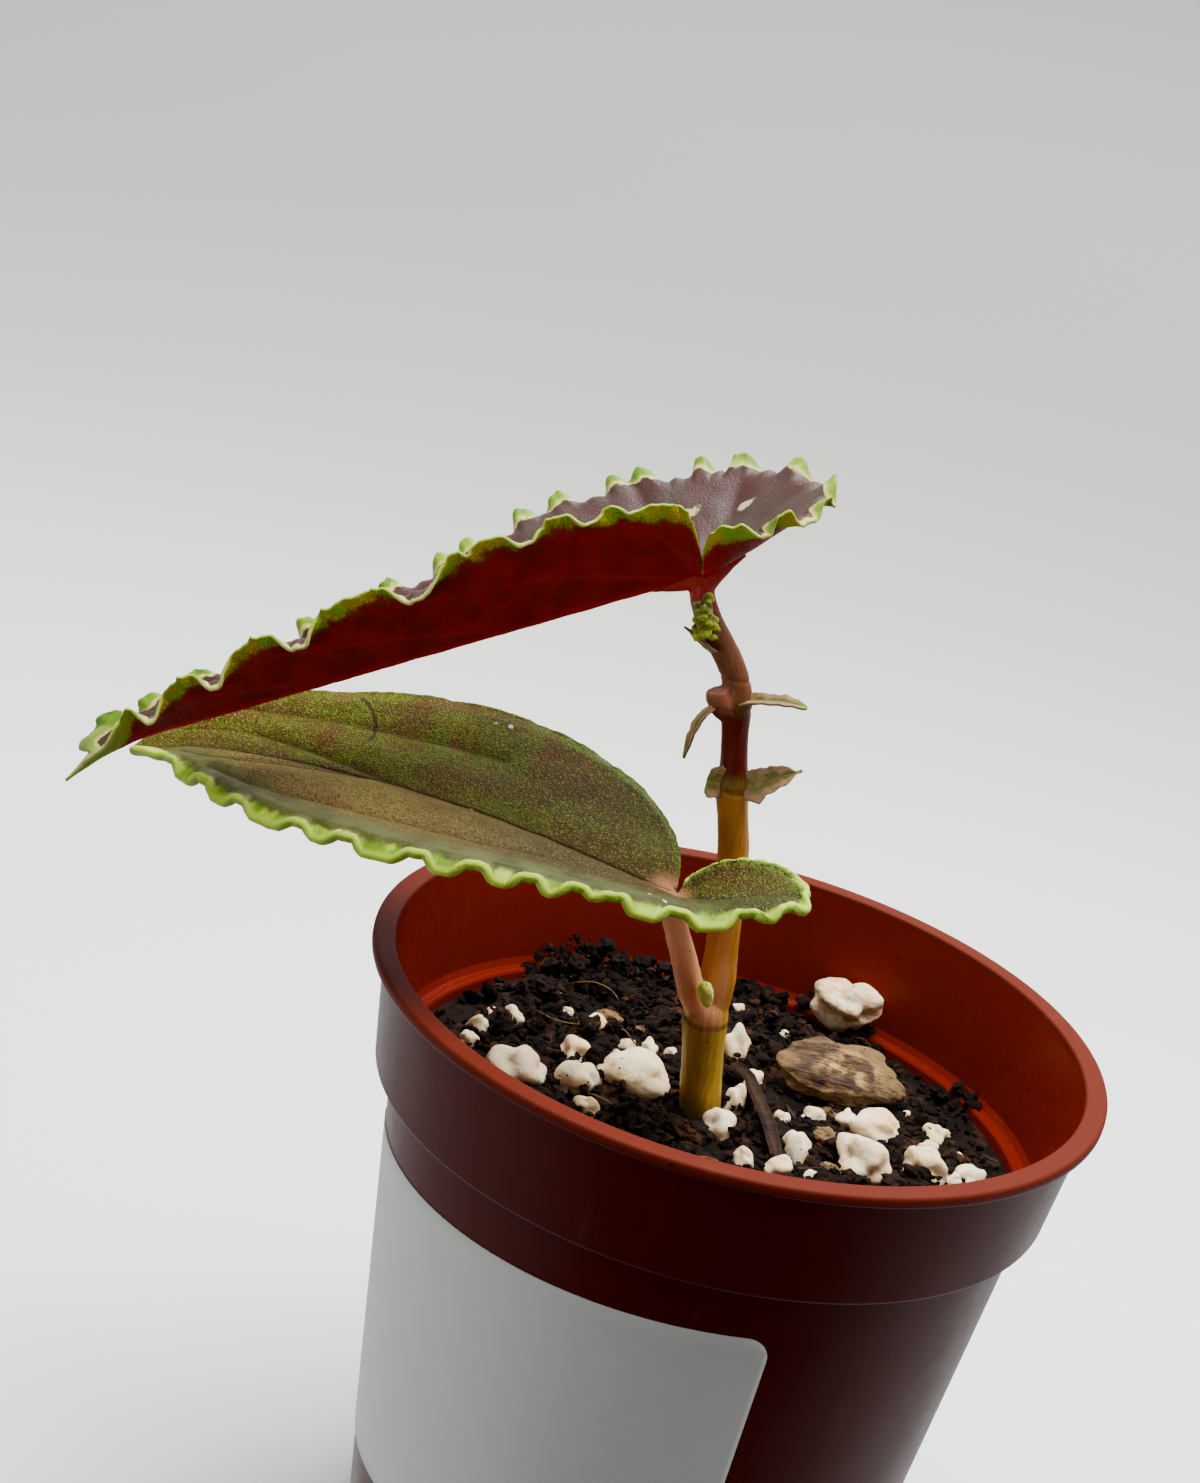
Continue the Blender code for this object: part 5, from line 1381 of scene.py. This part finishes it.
def makeSideBud():
    foot, head, turn, length = growth(sideBud)
    bm = bmesh.new()
    addLump(bm, (foot + head) / 2 * mm, (sideBud["width"], sideBud["width"], length), 4, 0.2, 9, turn)
    for i in range(sideBud["scales"]):
        around = turn @ Vector((*polar(1, spiralStep * i), 0))
        centre = foot.lerp(head, 0.3 + 0.09 * i) + around * 0.35
        addLump(bm, centre * mm, (0.7 * mm, 0.5 * mm, 1.3 * mm), 3, 0.3, 60 + i, turn)
    lime = youngMaterial("budLime", rgb(188, 206, 40), rgb(226, 236, 96), rgb(242, 244, 150))
    fuseLumps(addPiece(bm, "sideBud", "side_bud", "young_green", lime), sideBud)


makePot()
makeLabel()
makeSoilBed()
makeGrains()
makeStrands()
makeBark()
makeChip()
makeLedgeGrain()
print("potting mix done")
makeStem()
wine = redUnderside("wineUnderside", rgb(116, 0, 0), rgb(148, 3, 0), rgb(214, 10, 18), rgb(166, 140, 4))
rust = redUnderside("rustUnderside", rgb(92, 26, 14), rgb(118, 48, 24), rgb(150, 70, 44), rgb(130, 150, 50))
paleEdge = marginEdge("paleEdge", rgb(208, 212, 116), rgb(140, 162, 30), rgb(84, 84, 20))
limeEdge = marginEdge("limeEdge", rgb(164, 194, 60), rgb(136, 170, 40), rgb(80, 84, 14))
makeLeaf("leafUpper", upperLeaf, "leaf_upper", "leaf_red", duskyFace(), wine, paleEdge)
makeLeaf("leafLower", lowerLeaf, "leaf_lower", "leaf_green", oliveFace(), rust, limeEdge)
makeSmallBlades()
makeYoungLeaf()
makeSideBud()
print("buds done")


# The stage, the light and the camera

studio = dict(depth=1.9, width=6, height=1.6, curve=0.5, front=3.4)
# how bright the room is, from the dark side in front to the bright one behind
room = dict(dark=0.03, bright=0.85, low=-0.6, high=0.05)
lights = dict(
    topSoftbox=dict(place=(0.06, 0.07, 0.56), aim=(0.03, 0.05, 0), size=(0.42, 0.36), power=7.6, spread=180),
    rearSoftbox=dict(place=(0.2, 1.6, 1.3), aim=(0.1, 1.5, 0), size=(2, 0.8), power=26, spread=180),
    frontFill=dict(place=(-0.3, -0.45, 0.03), aim=(-0.03, 0, 0.14), size=(0.3, 0.04), power=0.03, spread=16))
camera = dict(place=(-0.02123, -0.26386, 0.18966), right=(0.9718, 0.0787, 0.2225),
              up=(-0.236, 0.3242, 0.9161), lens=65.54, sensor=36)


def makeStage():
    path = roundedPath([(-studio["front"], 0, 0), (studio["depth"], 0, studio["curve"]),
                        (studio["depth"], studio["height"], 0)], 24)
    bm = bmesh.new()
    points = [bm.verts.new((-studio["width"] / 2, p.x, p.y)) for p in path]
    edges = [bm.edges.new(pair) for pair in zip(points, points[1:])]
    for item in bmesh.ops.extrude_edge_only(bm, edges=edges)["geom"]:
        if isinstance(item, bmesh.types.BMVert):
            item.co.x += studio["width"]
    bmesh.ops.recalc_face_normals(bm, faces=bm.faces[:])
    if bm.faces[0].normal.z < 0:
        bmesh.ops.reverse_faces(bm, faces=bm.faces[:])
    mesh = takeMesh(bm, "paleSweep")
    mesh.shade_smooth()
    mat = newMaterial("paleSweep", 0.9, 0.1)
    # painted shade: a little darker towards the back, where less light falls
    back = mask(axesOf(objectPlace(mat))[1], 0.08, 0.5)
    mesh.materials.append(finish(mat, mix(back, rgb(250, 250, 248), rgb(210, 211, 208))))
    sweep = addObject("paleSweep", mesh)
    # the object is lit by the room and the lights, and not by the floor, so that its front stays in shade
    sweep.visible_diffuse = False
    sweep.visible_glossy = False


def makeLight(name, place, aim, size, power, spread):
    data = bpy.data.lights.new(name, "AREA")
    data.spread = math.radians(spread)
    data.shape = "RECTANGLE"
    data.size, data.size_y = size
    data.energy = power
    light = addObject(name, data)
    light.location = place
    light.rotation_euler = (Vector(aim) - Vector(place)).to_track_quat("-Z", "Y").to_euler()


def makeCamera():
    data = bpy.data.cameras.new("camera")
    data.lens = camera["lens"]
    data.sensor_width = camera["sensor"]
    data.clip_start = 0.01
    right = Vector(camera["right"]).normalized()
    back = right.cross(Vector(camera["up"])).normalized()
    turn = Matrix((right, back.cross(right), back)).transposed().to_4x4()
    eye = addObject("camera", data)
    eye.matrix_world = Matrix.Translation(camera["place"]) @ turn
    bpy.context.scene.camera = eye


def makeWorld():
    world = bpy.data.worlds.new("paleRoom")
    world.use_nodes = True
    tree = world.node_tree
    # brighter behind, beside and above the plant than in front of it, most of all on the left
    x, y, z = axesOf(Value(addNode(tree, "ShaderNodeTexCoord"), "Generated"))
    rise = y + z * 0.26 + abs(x) * 0.48 - x * 0.25
    glow = addNode(tree, "ShaderNodeMapRange", {
        "Value": rise, "From Min": room["low"], "From Max": room["high"],
        "To Min": room["dark"], "To Max": room["bright"]})
    tree.links.new(glow.outputs["Result"], tree.nodes["Background"].inputs["Strength"])
    tree.nodes["Background"].inputs["Color"].default_value = grey(1)
    bpy.context.scene.world = world


makeStage()
for name, light in lights.items():
    makeLight(name, **light)
makeWorld()
makeCamera()
print("stage done")
